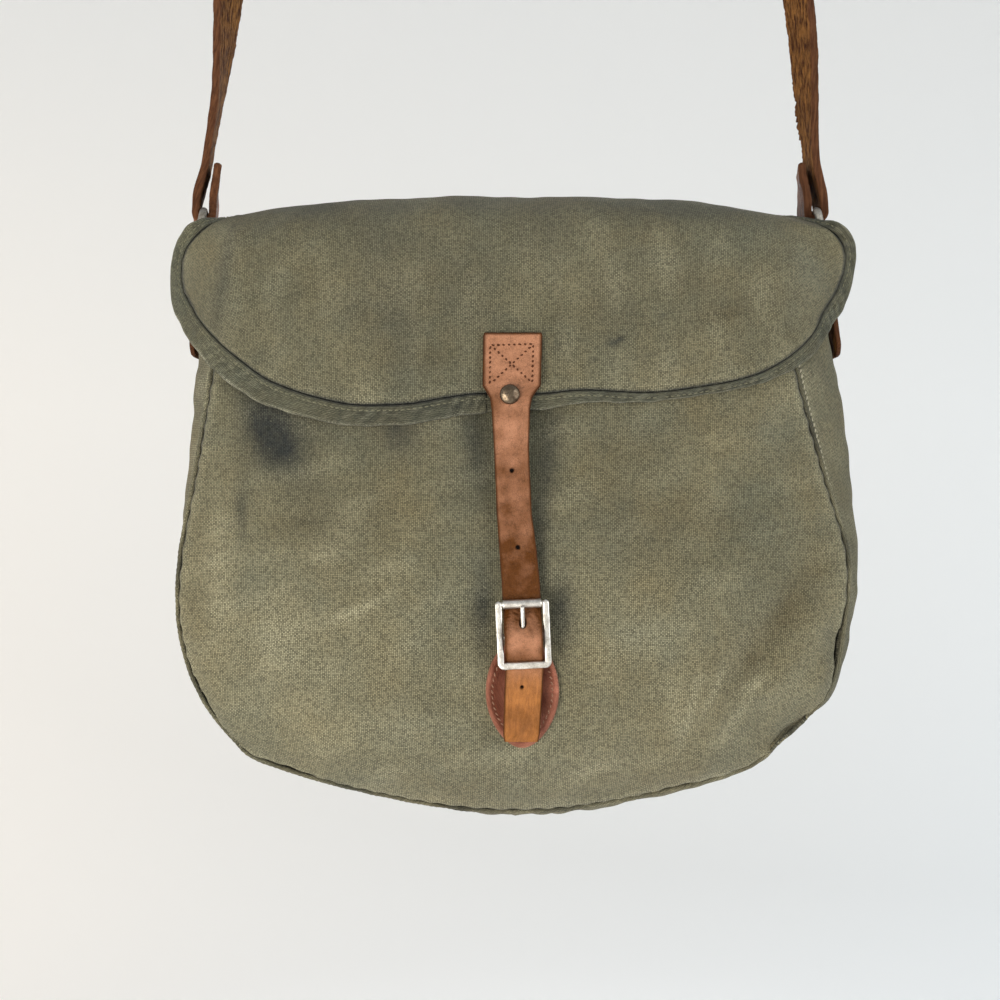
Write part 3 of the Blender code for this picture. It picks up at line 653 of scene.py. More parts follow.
def place(points):
    """Millimetres with heights above the base, to metres from the origin."""
    return (np.asarray(points, float) + (0, 0, BASE_Z)) * MM


def outward(grid):
    """The normal at each point of a grid, along its row's direction crossed with its column's."""
    return unit(np.cross(np.gradient(grid, axis=1), np.gradient(grid, axis=0)))


def steps_along(grid, axis):
    """The distance of each point of a grid from the first one of its row or column."""
    step = np.linalg.norm(np.diff(grid, axis=axis), axis=-1)
    return np.pad(np.cumsum(step, axis=axis), [(1, 0) if k == axis else (0, 0) for k in (0, 1)])


def from_sides(level):
    """The distance to the nearer end of the row, from the distance along it."""
    return np.minimum(level, level[:, -1:] - level)


def linked(name, data):
    """An object in the scene."""
    made = bpy.data.objects.new(name, data)
    bpy.context.scene.collection.objects.link(made)
    return made


def finish_mesh(name, points, faces, corner_uv, look, masks, closed):
    """A piece from metre points, faces, the UV of each face's corners and values at its points."""
    mesh = bpy.data.meshes.new(name)
    mesh.from_pydata(points.tolist(), [], faces)
    mesh.uv_layers.new(name="UVMap").data.foreach_set("uv", corner_uv.astype(np.float32).ravel())
    for key, values in masks.items():
        values = np.broadcast_to(np.ravel(values), len(points)).clip(0, 1).astype(np.float32)
        mesh.attributes.new(key, "FLOAT", "POINT").data.foreach_set("value", values)
    if closed:
        bm = bmesh.new()
        bm.from_mesh(mesh)
        bmesh.ops.recalc_face_normals(bm, faces=bm.faces)
        bm.to_mesh(mesh)
        bm.free()
    mesh.shade_smooth()
    mesh.materials.append(look)
    piece = linked(name, mesh)
    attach(piece, "root")
    return piece


def grid_corners(rows, columns, wrap=False, loop=False):
    """The rows and the columns of the corners of a grid's faces, counted on where it wraps."""
    i, j = np.meshgrid(np.arange(rows - 1 + loop), np.arange(columns - 1 + wrap), indexing="ij")
    i = np.stack([i, i, i + 1, i + 1], axis=-1).reshape(-1, 4)
    return i, np.stack([j, j + 1, j + 1, j], axis=-1).reshape(-1, 4)


def laid_out(grid, wrap=False, loop=False):
    """The distance along the rows and the columns of a grid, which is the UV of the flat piece."""
    wide = np.pad(grid, ((0, loop), (0, wrap), (0, 0)), mode="wrap")
    return np.stack([steps_along(wide, 1), steps_along(wide, 0)], axis=-1)


def surface(name, grid, look, slot, wall=0.0, wrap=False, loop=False, uv=None, **masks):
    """A mesh over a grid of points, each joined to the next of its row and column.

    wrap joins each row's ends and caps the first and last rows, loop joins the last row to the first,
    wall gives an open sheet a thickness inwards.
    """
    rows, columns = grid.shape[:2]
    i, j = grid_corners(rows, columns, wrap, loop)
    if uv is None:
        uv = laid_out(grid, wrap, loop)
    faces = (i % rows * columns + j % columns).tolist()
    corner_uv = uv[i, j].reshape(-1, 2)
    if wrap and not loop:
        end = np.arange(columns)
        faces += [end[::-1].tolist(), (end + (rows - 1) * columns).tolist()]
        corner_uv = np.concatenate([corner_uv, uv[0, end[::-1]], uv[-1, end]])
    points = place(grid.reshape(-1, 3))
    piece = finish_mesh(name, points, faces, corner_uv * MM, look, masks, closed=wrap)
    if wall:
        thick = piece.modifiers.new("wall", "SOLIDIFY")
        thick.thickness = wall * MM
        thick.offset = -1
    return piece


def ribbon_section(face_points, rounding):
    """Where each point of a ribbon's section lies: its share of the flat half width, its sign through
    the thickness, and its place on the rounded corner, across and through."""
    flat, one = np.ones(face_points), np.ones(3)
    turn = np.radians([60, 30, 0])
    face = np.stack([np.linspace(-1, 1, face_points), flat, 0 * flat, flat])
    above = np.stack([one, one, np.cos(turn), np.sin(turn)])
    below = np.stack([one, -one, np.cos(turn), -np.sin(turn)])[:, ::-1]
    half = np.concatenate([face, above, below], axis=1)
    share, sign, a, b = np.concatenate([half, -half], axis=1)
    return share, sign, a * rounding, b * rounding


def ribbon(path, wide, face, half, thick, face_points=13, rounding=0.7, worn_end=0.5):
    """A flat band carried along a path, its ends rounded over. It returns the grid, each point's share
    across and through, and its way along the path."""
    share, sign, a, b = ribbon_section(face_points, rounding)
    wide, face = (np.broadcast_to(way, path.shape)[:, None] for way in (wide, face))
    half = np.broadcast_to(half, len(path))[:, None]
    along = lengths(path)[:, None]
    to_end = np.minimum(np.minimum(along, along[-1] - along) / worn_end, 1)
    full = 0.4 + 0.6 * np.sqrt(1 - (1 - to_end) ** 2)
    out = share * (half - rounding) + a
    through = np.broadcast_to(sign * (thick / 2 - rounding) + b, out.shape)
    turned_in = out - share * worn_end * 0.6 * (1 - full)
    grid = path[:, None] + turned_in[..., None] * wide + (full * through)[..., None] * face
    return grid, out / half, through / (thick / 2), np.broadcast_to(along, out.shape)


def wire(path, first, second, radius, sides):
    """A round rod along a path, in the plane of two directions. These and the radius may change along it."""
    turn = around(sides)[:, None]
    first, second = (np.broadcast_to(way, path.shape)[:, None] for way in (first, second))
    radius = np.broadcast_to(radius, len(path))[:, None, None]
    return path[:, None] + radius * (np.cos(turn) * first + np.sin(turn) * second)


def turned_shape(radius, y, centre, sides=48):
    """A profile of radius and y turned about a line along Y through centre, its x and h."""
    turn = around(sides)
    x = centre[0] + np.outer(radius, np.cos(turn))
    h = centre[1] + np.outer(radius, np.sin(turn))
    return np.stack([x, np.broadcast_to(np.asarray(y, float)[:, None], x.shape), h], axis=-1)


def rods(name, core, first, second, radius, sides, ends, uv_axes, look, slot, **masks):
    """Many short round rods: for each a row of points and radii, and two directions across it.

    ends are the faces that close one rod, and uv_axes the two axes on which its UV is laid out.
    """
    turn = around(sides)[:, None]
    ring = np.cos(turn) * first[:, None] + np.sin(turn) * second[:, None]
    points = place((core[:, :, None] + radius[..., None, None] * ring[:, None]).reshape(-1, 3))
    count, steps = radius.shape
    i, j = grid_corners(steps, sides, wrap=True)
    start = steps * sides * np.arange(count)[:, None, None]
    parts = [(start + one).reshape(-1, one.shape[-1]) for one in (i * sides + j % sides, np.array(ends))]
    corner_uv = points[np.concatenate([part.ravel() for part in parts])][:, uv_axes]
    faces = [face for part in parts for face in part.tolist()]
    finish_mesh(name, points, faces, corner_uv, look, masks, closed=True)


def stitches(name, path, normal, look, slot, pitch, long, thick, lean=0.0, sink=0.3):
    """Short runs of thread along a path: a rod whose radius is thick * sqrt(1 - t^4) at t from -1 to 1.

    Each run is turned by lean degrees from the path, and its ends dip into what it holds.
    """
    along = lengths(path)
    count = max(1, round(along[-1] / pitch))
    at = (np.arange(count) + 0.5) * along[-1] / count
    middle = rows_at(at, along, path)
    up = unit(rows_at(at, along, np.broadcast_to(normal, path.shape)))
    way = unit(rows_at(at, along, np.gradient(path, axis=0)))
    side = unit(np.cross(way, up))
    jitter = np.random.default_rng(len(name)).normal(0, 1, (3, count, 1))
    turn = np.radians(lean + 6 * jitter[0])
    way = np.cos(turn) * way + np.sin(turn) * side
    side = unit(np.cross(way, up))
    t = np.array([-0.97, -0.7, 0, 0.7, 0.97])
    radius = thick * (1 + 0.08 * jitter[1]) * np.sqrt(1 - t**4)
    reach = long / 2 * (1 + 0.07 * jitter[2])
    core = middle[:, None] + (reach * t)[..., None] * way[:, None] - (sink * t**2)[:, None] * up[:, None]
    ends = [(0, 3, 2, 1), (0, 5, 4, 3), (24, 25, 26, 27), (24, 27, 28, 29)]
    rods(name, core, side, up, radius, 6, ends, [0, 2], look, slot)


# Node groups


def connect(tree, node, values):
    """Sets inputs of a node, each to a plain value or to another node's output."""
    for key, value in values.items():
        if isinstance(value, bpy.types.NodeSocket):
            tree.links.new(value, node.inputs[key])
        else:
            node.inputs[key].default_value = value
    return node


def feed(tree, inputs, **values):
    """Links results to a shader's or a group's own inputs. An underscore stands for a space."""
    for key, value in values.items():
        tree.links.new(value, inputs[key.replace("_", " ")])


def new_group(name, inputs, outputs):
    """An empty node group. Its inputs have a plain number each, or None for a vector, and its outputs
    are numbers."""
    tree = bpy.data.node_groups.new(name, "ShaderNodeTree")
    for title, value in inputs.items():
        kind = "NodeSocketVector" if value is None else "NodeSocketFloat"
        socket = tree.interface.new_socket(title, in_out="INPUT", socket_type=kind)
        if value is not None:
            socket.default_value = value
    for title in outputs:
        tree.interface.new_socket(title, in_out="OUTPUT", socket_type="NodeSocketFloat")
    return tree, tree.nodes.new("NodeGroupInput").outputs, tree.nodes.new("NodeGroupOutput").inputs


def put(tree, kind, values, **settings):
    """A node with its settings and inputs."""
    node = tree.nodes.new("ShaderNode" + kind)
    for key, value in settings.items():
        setattr(node, key, value)
    return connect(tree, node, values)


def calc(tree, operation, a, b=0.0, c=0.0):
    """One step of arithmetic on values."""
    return put(tree, "Math", {0: a, 1: b, 2: c}, operation=operation).outputs[0]


def times(tree, a, b):
    """The product of two values."""
    return calc(tree, "MULTIPLY", a, b)


def plus(tree, a, b):
    """The sum of two values."""
    return calc(tree, "ADD", a, b)


def mixed(tree, share, a, b, blend="MIX"):
    """Two colours mixed by a share of the second."""
    values = {"Factor": share, 6: a, 7: b}
    return put(tree, "Mix", values, data_type="RGBA", blend_type=blend).outputs[2]


def shaded(tree, colour, shade):
    """A colour times a grey."""
    grey = put(tree, "CombineColor", {0: shade, 1: shade, 2: shade}).outputs[0]
    return mixed(tree, 1.0, colour, grey, "MULTIPLY")


def spread(tree, value, low, high, to_low=0.0, to_high=1.0):
    """A value stretched from one range to another, and kept inside it."""
    return put(tree, "MapRange", {0: value, 1: low, 2: high, 3: to_low, 4: to_high}, clamp=True).outputs[0]


def cloud(tree, vector, scale, detail=2.0, rough=0.5):
    """Noise in space, as a value and as a colour whose channels don't follow each other."""
    values = {"Vector": vector, "Scale": scale, "Detail": detail, "Roughness": rough}
    return put(tree, "TexNoise", values).outputs


def noise(tree, vector, scale, detail, rough, low, high):
    """Noise stretched so that low becomes 0 and high 1."""
    return spread(tree, cloud(tree, vector, scale, detail, rough)["Fac"], low, high)


def mask(tree, name):
    """A value that the piece carries at its points."""
    return put(tree, "Attribute", {}, attribute_name=name).outputs["Fac"]


def make_weave():
    """Plain weave on a UV in metres. Warp and weft are |sin| ridges, and the sign of both sines' product
    says which lies on top. A noise makes the threads wander, and each crossing has a tone of its own."""
    tree, given, out = new_group("weave", {"UV": None, "Warp": 0.001, "Weft": 0.001}, ("Height", "Tone"))
    wander = cloud(tree, given["UV"], 300.0)["Color"]
    shifted = put(tree, "VectorMath", {0: wander, 1: (0.5, 0.5, 0.5)}, operation="SUBTRACT").outputs[0]
    shifted = put(tree, "VectorMath", {0: shifted, 3: 0.0009}, operation="SCALE").outputs[0]
    moved = put(tree, "VectorMath", {0: given["UV"], 1: shifted}, operation="ADD").outputs[0]
    parts = put(tree, "SeparateXYZ", {0: moved}).outputs
    waves, counts = [], []
    for part, pitch in zip(parts, (given["Warp"], given["Weft"])):
        turns = calc(tree, "DIVIDE", part, pitch)
        waves.append(calc(tree, "SINE", times(tree, turns, math.pi)))
        counts.append(calc(tree, "FLOOR", turns))
    warp, weft = (calc(tree, "ABSOLUTE", wave) for wave in waves)
    top = spread(tree, times(tree, *waves), -0.15, 0.15)
    on_top = times(tree, times(tree, warp, 0.85), top)
    under = times(tree, times(tree, weft, 0.5), calc(tree, "SUBTRACT", 1.0, top))
    height = plus(tree, plus(tree, on_top, under), times(tree, times(tree, warp, weft), 0.3))
    crossing_at = put(tree, "CombineXYZ", {0: counts[0], 1: counts[1]}).outputs[0]
    own = put(tree, "TexWhiteNoise", {"Vector": crossing_at}, noise_dimensions="2D").outputs["Value"]
    tone = plus(tree, times(tree, height, 0.6), 0.4)
    feed(tree, out, Height=height, Tone=times(tree, tone, spread(tree, own, 0.0, 1.0, 0.76, 1.18)))
    return tree


def make_patina():
    """Uneven colour from a cloud noise: its tone, where it is warm and where it is cool. Fine noise breaks
    up the tone, and a still finer one gives scattered specks."""
    tree, given, out = new_group(
        "patina", {"Vector": None, "Size": 0.05}, ("Value", "Warm", "Cool", "Fine", "Speck")
    )
    scale = calc(tree, "DIVIDE", 1.0, given["Size"])
    tints = put(tree, "SeparateColor", {0: cloud(tree, given["Vector"], scale, 4.0, 0.62)["Color"]}).outputs
    fine = noise(tree, given["Vector"], times(tree, scale, 10.0), 2.0, 0.6, 0.3, 0.7)
    speck = noise(tree, given["Vector"], times(tree, scale, 30.0), 1.0, 0.5, 0.71, 0.76)
    value = plus(tree, times(tree, spread(tree, tints[0], 0.32, 0.68), 0.74), times(tree, fine, 0.26))
    warm, cool = (spread(tree, tint, 0.45, 0.68) for tint in tints[1:3])
    feed(tree, out, Value=value, Warm=warm, Cool=cool, Fine=fine, Speck=speck)
    return tree


def make_grain():
    """Leather grain: small cells whose borders are creased, over soft fibres drawn out along the band."""
    tree, given, out = new_group("grain", {"Vector": None, "Size": 0.001}, ("Height", "Fibre"))
    scale = calc(tree, "DIVIDE", 1.0, given["Size"])
    values = {"Vector": given["Vector"], "Scale": scale, "Randomness": 1.0}
    cells = put(tree, "TexVoronoi", values, feature="DISTANCE_TO_EDGE").outputs["Distance"]
    pebble = spread(tree, cells, 0.0, 0.14)
    lumps = noise(tree, given["Vector"], times(tree, scale, 0.35), 3.0, 0.6, 0.3, 0.7)
    drawn = put(tree, "VectorMath", {0: given["Vector"], 1: (1.0, 0.2, 1.0)}, operation="MULTIPLY").outputs[0]
    fibre = noise(tree, drawn, times(tree, scale, 0.7), 4.0, 0.7, 0.4, 0.6)
    feed(tree, out, Height=plus(tree, times(tree, pebble, 0.5), times(tree, lumps, 0.7)), Fibre=fibre)
    return tree


def make_scuffs():
    """Scratches and pits on metal: noise drawn out two ways, and small pits."""
    tree, given, out = new_group("scuffs", {"Vector": None}, ("Scratch", "Pit"))
    lines = []
    for turn, drawn in (((0.3, 0.9, 0.2), (1, 14, 14)), ((1.2, 0.1, 1.0), (14, 1, 14))):
        way = put(tree, "Mapping", {"Vector": given["Vector"], "Rotation": turn, "Scale": drawn}).outputs[0]
        lines.append(noise(tree, way, 260.0, 2.0, 0.5, 0.6, 0.72))
    pit = noise(tree, given["Vector"], 900.0, 3.0, 0.6, 0.5, 0.75)
    feed(tree, out, Scratch=calc(tree, "MAXIMUM", *lines), Pit=pit)
    return tree


GROUPS = {"weave": make_weave(), "patina": make_patina(), "grain": make_grain(), "scuffs": make_scuffs()}


def use(tree, name, **values):
    """A node group placed in a material."""
    node = tree.nodes.new("ShaderNodeGroup")
    node.node_tree = GROUPS[name]
    return connect(tree, node, values).outputs


def new_material(name, **constants):
    """A material, its tree, its shader's inputs and its coordinates, with the shader's plain values set."""
    made = bpy.data.materials.new(name)
    made.use_nodes = True
    shader = made.node_tree.nodes["Principled BSDF"].inputs
    for key, value in constants.items():
        shader[key.replace("_", " ")].default_value = value
    return made, made.node_tree, shader, put(made.node_tree, "TexCoord", {}).outputs


def bump(tree, height, distance):
    """Relief of this depth in metres."""
    return put(tree, "Bump", {"Height": height, "Distance": distance}).outputs[0]


def canvas_look(name, light, dark, warm, cool, stain, soil, rubbed, warp=0.00092, weft=0.00080, size=0.045):
    """Cotton canvas: a light and a dark tone, warmer and cooler in patches, then stained, soiled and rubbed,
    with painted shade in the stain and soil masks and painted light in the rub mask.
    Each thread crossing is darker or lighter than the next, and the gaps between them are darkest."""
    made, tree, shader, coords = new_material(
        name, Roughness=0.95, Sheen_Weight=0.08, Sheen_Roughness=0.6, Specular_IOR_Level=0.12
    )
    weave = use(tree, "weave", UV=coords["UV"], Warp=warp, Weft=weft)
    patina = use(tree, "patina", Vector=coords["Object"], Size=size)
    broken = spread(tree, patina["Fine"], 0.0, 1.0, 0.85, 1.06)
    worn = spread(tree, weave["Tone"], 0.35, 1.0, 0.2, 1.0)
    colour = mixed(tree, patina["Value"], dark, light)
    for share, strength, tint in (
        (patina["Warm"], 0.34, warm),
        (patina["Cool"], 0.34, cool),
        (mask(tree, "soil"), broken, soil),
        (mask(tree, "stain"), broken, stain),
        (mask(tree, "rub"), worn, rubbed),
    ):
        colour = mixed(tree, times(tree, share, strength), colour, tint)
    colour = shaded(tree, colour, spread(tree, weave["Tone"], 0.36, 1.0, 0.27, 1.74))
    colour = mixed(tree, times(tree, patina["Speck"], 0.3), colour, rubbed)
    feed(tree, shader, Base_Color=colour, Normal=bump(tree, weave["Height"], 0.00025))
    return made


def thread_look(name, light, dark):
    """Thread: two tones in fine slanted twists."""
    made, tree, shader, coords = new_material(name, Roughness=0.8, Specular_IOR_Level=0.15)
    values = {"Vector": coords["Object"], "Scale": 900.0, "Distortion": 2.0}
    twist = put(tree, "TexWave", values, bands_direction="DIAGONAL").outputs["Fac"]
    feed(tree, shader, Base_Color=mixed(tree, twist, dark, light), Normal=bump(tree, twist, 0.0001))
    return made


def leather_look(name, light, dark, flesh, edge, size, gloss, relief=0.00016, streaks=0.45):
    """Leather: light and dark tones by patina and age, on the closure strap also by painted light and shade in
    the buckle, its flesh side and cut edges in their own colours, and punched holes in near-black painted
    shade.
    """
    made, tree, shader, coords = new_material(name, Specular_IOR_Level=0.11)
    grain = use(tree, "grain", Vector=coords["UV"], Size=size)
    patina = use(tree, "patina", Vector=coords["Object"], Size=0.018)
    aged_and_shaded = plus(tree, mask(tree, "age"), times(tree, patina["Value"], 0.45))
    colour = mixed(tree, spread(tree, aged_and_shaded, 0.15, 1.2), light, dark)
    colour = shaded(tree, colour, spread(tree, grain["Height"], 0.2, 0.8, 0.72, 1.1))
    drawn = mixed(tree, grain["Fibre"], mixed(tree, streaks, flesh, dark), flesh)
    drawn = mixed(tree, times(tree, patina["Warm"], 0.6), drawn, dark)
    cut = mixed(tree, grain["Fibre"], mixed(tree, 0.7, edge, dark), edge)
    for share, tint in (
        (mask(tree, "flesh"), drawn),
        (mask(tree, "edge"), cut),
        (times(tree, patina["Speck"], 0.6), dark),
        (mask(tree, "hole"), PAINTED_HOLE_SHADE),
    ):
        colour = mixed(tree, share, colour, tint)
    height = plus(tree, grain["Height"], times(tree, grain["Fibre"], 0.6))
    roughness = spread(tree, grain["Height"], 0.0, 1.0, gloss + 0.18, gloss - 0.04)
    roughness = plus(tree, roughness, times(tree, mask(tree, "flesh"), 0.3))
    feed(tree, shader, Base_Color=colour, Roughness=roughness, Normal=bump(tree, height, relief))
    return made


def metal_look(name, bright, dull, rough, tarnish):
    """Plated metal: bright where it is worn, dull and rougher in patches, scratched and pitted."""
    made, tree, shader, coords = new_material(name, Metallic=1.0)
    scuffs = use(tree, "scuffs", Vector=coords["Object"])
    spots = use(tree, "patina", Vector=coords["Object"], Size=0.006)
    dulled = spread(tree, spots["Value"], 0.5 - tarnish / 2, 0.9)
    colour = mixed(tree, dulled, bright, dull)
    colour = mixed(tree, times(tree, scuffs["Pit"], 0.35), colour, dull)
    roughness = spread(tree, dulled, 0.0, 1.0, rough, rough + 0.22)
    roughness = plus(tree, roughness, times(tree, scuffs["Scratch"], 0.12))
    height = calc(tree, "SUBTRACT", times(tree, scuffs["Scratch"], -0.5), scuffs["Pit"])
    feed(tree, shader, Base_Color=colour, Roughness=roughness, Normal=bump(tree, height, 0.00005))
    return made


CANVAS_LOOK = canvas_look(
    "olive_canvas", (0.158, 0.140, 0.082, 1), (0.094, 0.089, 0.055, 1), (0.140, 0.108, 0.050, 1),
    (0.102, 0.108, 0.080, 1), (0.020, 0.022, 0.020, 1), (0.064, 0.048, 0.020, 1), (0.32, 0.30, 0.20, 1)
)
BINDING_LOOK = canvas_look(
    "bound_edge", (0.115, 0.108, 0.066, 1), (0.055, 0.057, 0.038, 1), (0.09, 0.072, 0.036, 1),
    (0.075, 0.082, 0.062, 1), (0.016, 0.017, 0.014, 1), (0.06, 0.045, 0.02, 1), (0.27, 0.26, 0.19, 1),
    0.00085, 0.00085, 0.02
)
PALE_THREAD = thread_look("pale_thread", (0.58, 0.53, 0.39, 1), (0.32, 0.28, 0.18, 1))
OLIVE_THREAD = thread_look("olive_thread", (0.24, 0.23, 0.155, 1), (0.11, 0.105, 0.066, 1))
BROWN_THREAD = thread_look("brown_thread", (0.12, 0.042, 0.018, 1), (0.042, 0.013, 0.006, 1))
TAN_THREAD = thread_look("tan_thread", (0.42, 0.24, 0.16, 1), (0.20, 0.09, 0.055, 1))
CLOSURE_LEATHER = leather_look(
    "closure_leather", (0.37, 0.172, 0.096, 1), (0.084, 0.026, 0.003, 1), (0.36, 0.138, 0.032, 1),
    (0.05, 0.017, 0.006, 1), 0.0010, 0.46
)
STRAP_LEATHER = leather_look(
    "strap_leather", (0.22, 0.088, 0.042, 1), (0.038, 0.012, 0.005, 1), (0.27, 0.120, 0.032, 1),
    (0.15, 0.060, 0.026, 1), 0.0012, 0.6, 0.0004, 1.0
)
RED_LEATHER = leather_look(
    "red_leather", (0.36, 0.135, 0.086, 1), (0.12, 0.034, 0.018, 1), (0.2, 0.09, 0.05, 1),
    (0.38, 0.18, 0.12, 1), 0.0009, 0.42
)
NICKEL = metal_look("worn_nickel", (0.74, 0.71, 0.66, 1), (0.34, 0.31, 0.27, 1), 0.3, 0.4)
RING_METAL = metal_look("ring_metal", (0.40, 0.38, 0.34, 1), (0.19, 0.17, 0.14, 1), 0.38, 0.5)
RIVET_METAL = metal_look("tarnished_dome", (0.205, 0.16, 0.112, 1), (0.07, 0.045, 0.028, 1), 0.2, 0.8)


# The canvas


def panel_uv(face, x, h):
    """The cloth's own UV: the distance along the face from its middle, level with the point and straight up."""
    t = np.linspace(0, 1, 33)
    level = x[..., None] * t
    y = face(level, np.broadcast_to(h[..., None], level.shape))
    u = np.sign(x) * np.hypot(np.diff(level), np.diff(y)).sum(axis=-1)
    upright = UV_H + (h[..., None] - UV_H) * t
    y = face(np.broadcast_to(x[..., None], upright.shape), upright)
    v = np.sign(h - UV_H) * np.hypot(np.diff(upright), np.diff(y)).sum(axis=-1)
    return np.stack([u, v], axis=-1)


def from_seam(grid):
    """The distance over the cloth from the seam at the sides and base, for a grid that starts at the base."""
    return np.minimum(from_sides(steps_along(grid, 1)), steps_along(grid, 0))


def seam_place(x, h):
    """The way along the seam of its point nearest to x and h."""
    line = seam_point(mouth_to_mouth(500)).T
    nearest = np.argmin((x[..., None] - line[:, 0]) ** 2 + (h[..., None] - line[:, 1]) ** 2, axis=-1)
    return lengths(line)[nearest]


def creased(x, h):
    """Shallow grooves along short lines, deepest midway: depth * exp(-(distance / wide)^2)."""
    total = np.zeros(x.shape)
    for x1, h1, x2, h2, deep, wide in zip(*CREASES.values()):
        span = np.array([x2 - x1, h2 - h1])
        t = np.clip(((x - x1) * span[0] + (h - h1) * span[1]) / (span @ span), 0, 1)
        away = np.hypot(x - x1 - t * span[0], h - h1 - t * span[1])
        total += deep * bell(away, wide)
    return total


def seam_relief(edge, along, seed):
    """A raised fold beside a seam, puckers that fade away from it, and a drop at the stitch."""
    fold = 0.6 * bell(edge - 4, 2.4) - 0.5 * bell(edge, 1.2)
    wave = np.sin(2 * np.pi * along / 10.5 + 2.2 * np.sin(along / 19 + seed))
    return fold + 0.4 * wave * np.exp(-edge / 8)


def make_front():
    """The front panel of the solids, plus folds, creases and puckers that it keeps clear of what lies on it."""
    x, h = panel_plan(176, 136)
    grid = np.stack([x, front_y(x, h), h], axis=-1)
    edge, along = from_seam(grid), seam_place(x, h)
    below_flap = h - read(FLAP_EDGE, "h", x)
    under_strap = bell(x - 5, 22) * (1 - ease(205, 212, h))
    free = 1 - np.maximum(under_strap, ease(-14, -4, below_flap))
    relief = 0.8 * rumple(x, h, 62, 3) + 0.28 * rumple(x, h, 24, 4) - creased(x, h)
    relief = relief * free * ease(0, 14, edge) + seam_relief(edge, along, 1)
    for cx, ch, deep, size in zip(*NOTCHES.values()):
        relief -= deep * bell(np.hypot(x - cx, h - ch), size) * np.exp(-edge / 16)
    stain = ovals(FRONT_STAINS_AND_SHADE, x, h, "dark") + 0.7 * bell(edge, 1.2)
    # painted shadow of the flap: a darker band within 34 mm below its edge, stronger on the left, and a
    # narrower one right at the edge
    stain += (0.12 + 0.3 * (1 - ease(-70, 0, x))) * ease(-34, 0, below_flap) + 0.15 * ease(-6, 2, below_flap)
    rub = ovals(FRONT_RUBS_AND_LIGHT, x, h, "light") + 0.18 * bell(edge - 4, 3)
    # painted light: the front is lighter below about h 90 to 150; the patches are random pale wear
    rub += 0.08 * (1 - ease(90, 150, h)) + 0.1 * patches(x * 0.4 + h * 0.25, h - x * 0.4, 26, 12)
    masks = {"stain": stain, "rub": rub, "soil": ovals(FRONT_SOIL_AND_SHADE, x, h, "dark")}
    grid = grid + relief[..., None] * outward(grid)
    surface("canvas_front", grid, CANVAS_LOOK, "canvas", CANVAS, uv=panel_uv(front_y, x, h), **masks)


def make_back():
    """The back panel, with softer folds. Its rows run the other way, so that it faces backwards."""
    x, h = panel_plan(120, 92)
    grid = np.stack([x, back_y(x, h), h], axis=-1)
    edge, along = from_seam(grid), seam_place(x, h)
    relief = 0.7 * rumple(x, h, 70, 5) + 0.25 * rumple(x, h, 26, 6)
    relief = relief * ease(0, 14, edge) * (1 - ease(262, 272, h)) + seam_relief(edge, along, 2)
    stain = 0.1 * patches(x, h, 60, 7) + 0.5 * bell(edge, 1.4)
    rub = 0.16 * bell(edge - 4, 3) + 0.12 * patches(x, h, 60, 8)
    uv = panel_uv(back_y, x, h)
    grid, relief, uv, stain, rub = (part[:, ::-1] for part in (grid, relief, uv, stain, rub))
    grid = grid + relief[..., None] * outward(grid)
    surface("canvas_back", grid, CANVAS_LOOK, "canvas", CANVAS, uv=uv, stain=stain, rub=rub)


def make_gusset():
    """The strip round the sides and base, with a fold and puckers along both seams and slack cross folds."""
    root = mouth_to_mouth(460)
    w = np.sin(np.linspace(-1, 1, 31) * np.pi / 2)
    grid = np.stack([gusset_point(root, value) for value in w])[::-1]
    edge, along = from_sides(steps_along(grid, 0).T).T, steps_along(grid, 1)
    low = 1 - ease(60, 120, grid[..., 2])
    uv = laid_out(grid)
    slack = rumple(along, edge * 0.4, 34, 21) * (0.5 + 0.5 * low)
    relief = (0.6 * slack + 0.25 * rumple(along, edge, 17, 22)) * ease(1, 9, edge)
    relief += 0.7 * seam_relief(edge, along, 4)
    stain = 0.5 * bell(edge, 1.2) + 0.15 * patches(along, edge, 60, 23)
    rub = 0.28 * bell(edge - 3.4, 2) + 0.14 * patches(along, edge, 40, 24)
    grid = grid + relief[..., None] * outward(grid)
    surface("canvas_gusset", grid, CANVAS_LOOK, "canvas", CANVAS, uv=uv, stain=stain, rub=rub)


def make_seam_welts():
    """The turned edges that fill both long seams: a soft cord of cloth, nipped at each stitch."""
    root = mouth_to_mouth(640)
    for name, w in (("front", -1.0), ("back", 1.0)):
        line = gusset_point(root, w)
        out = unit(line - gusset_point(root, 0.8 * w) * (1, 0, 1) - line * (0, 1, 0))
        line = line - 1.1 * out + (0, 0.7 * w, 0)
        at = lengths(line)
        second = np.cross(unit(np.gradient(line, axis=0)), ALONG_Y)
        radius = WELT_R + 0.12 * np.cos(2 * np.pi * at / WELT_NIP) + 0.12 * rumple(at, 0, 14, 25)
        grid = wire(line, ALONG_Y, second, radius, 12)
        dark = 0.25 + 0.2 * rumple(at, 0, 40, 26)[:, None] + np.zeros(grid.shape[:2])
        surface("seam_welt_" + name, grid, CANVAS_LOOK, "canvas", wrap=True, stain=dark, rub=0.3 - dark)


def flap_grid(columns, rows):
    """The flap's face between its back hem and its front edge, and s at its points."""
    u = np.broadcast_to(np.linspace(-1, 1, columns), (rows, columns))
    s = np.linspace(0, 1, rows)[:, None] * flap_lengths(u[0])
    return flap_at(u, s), s


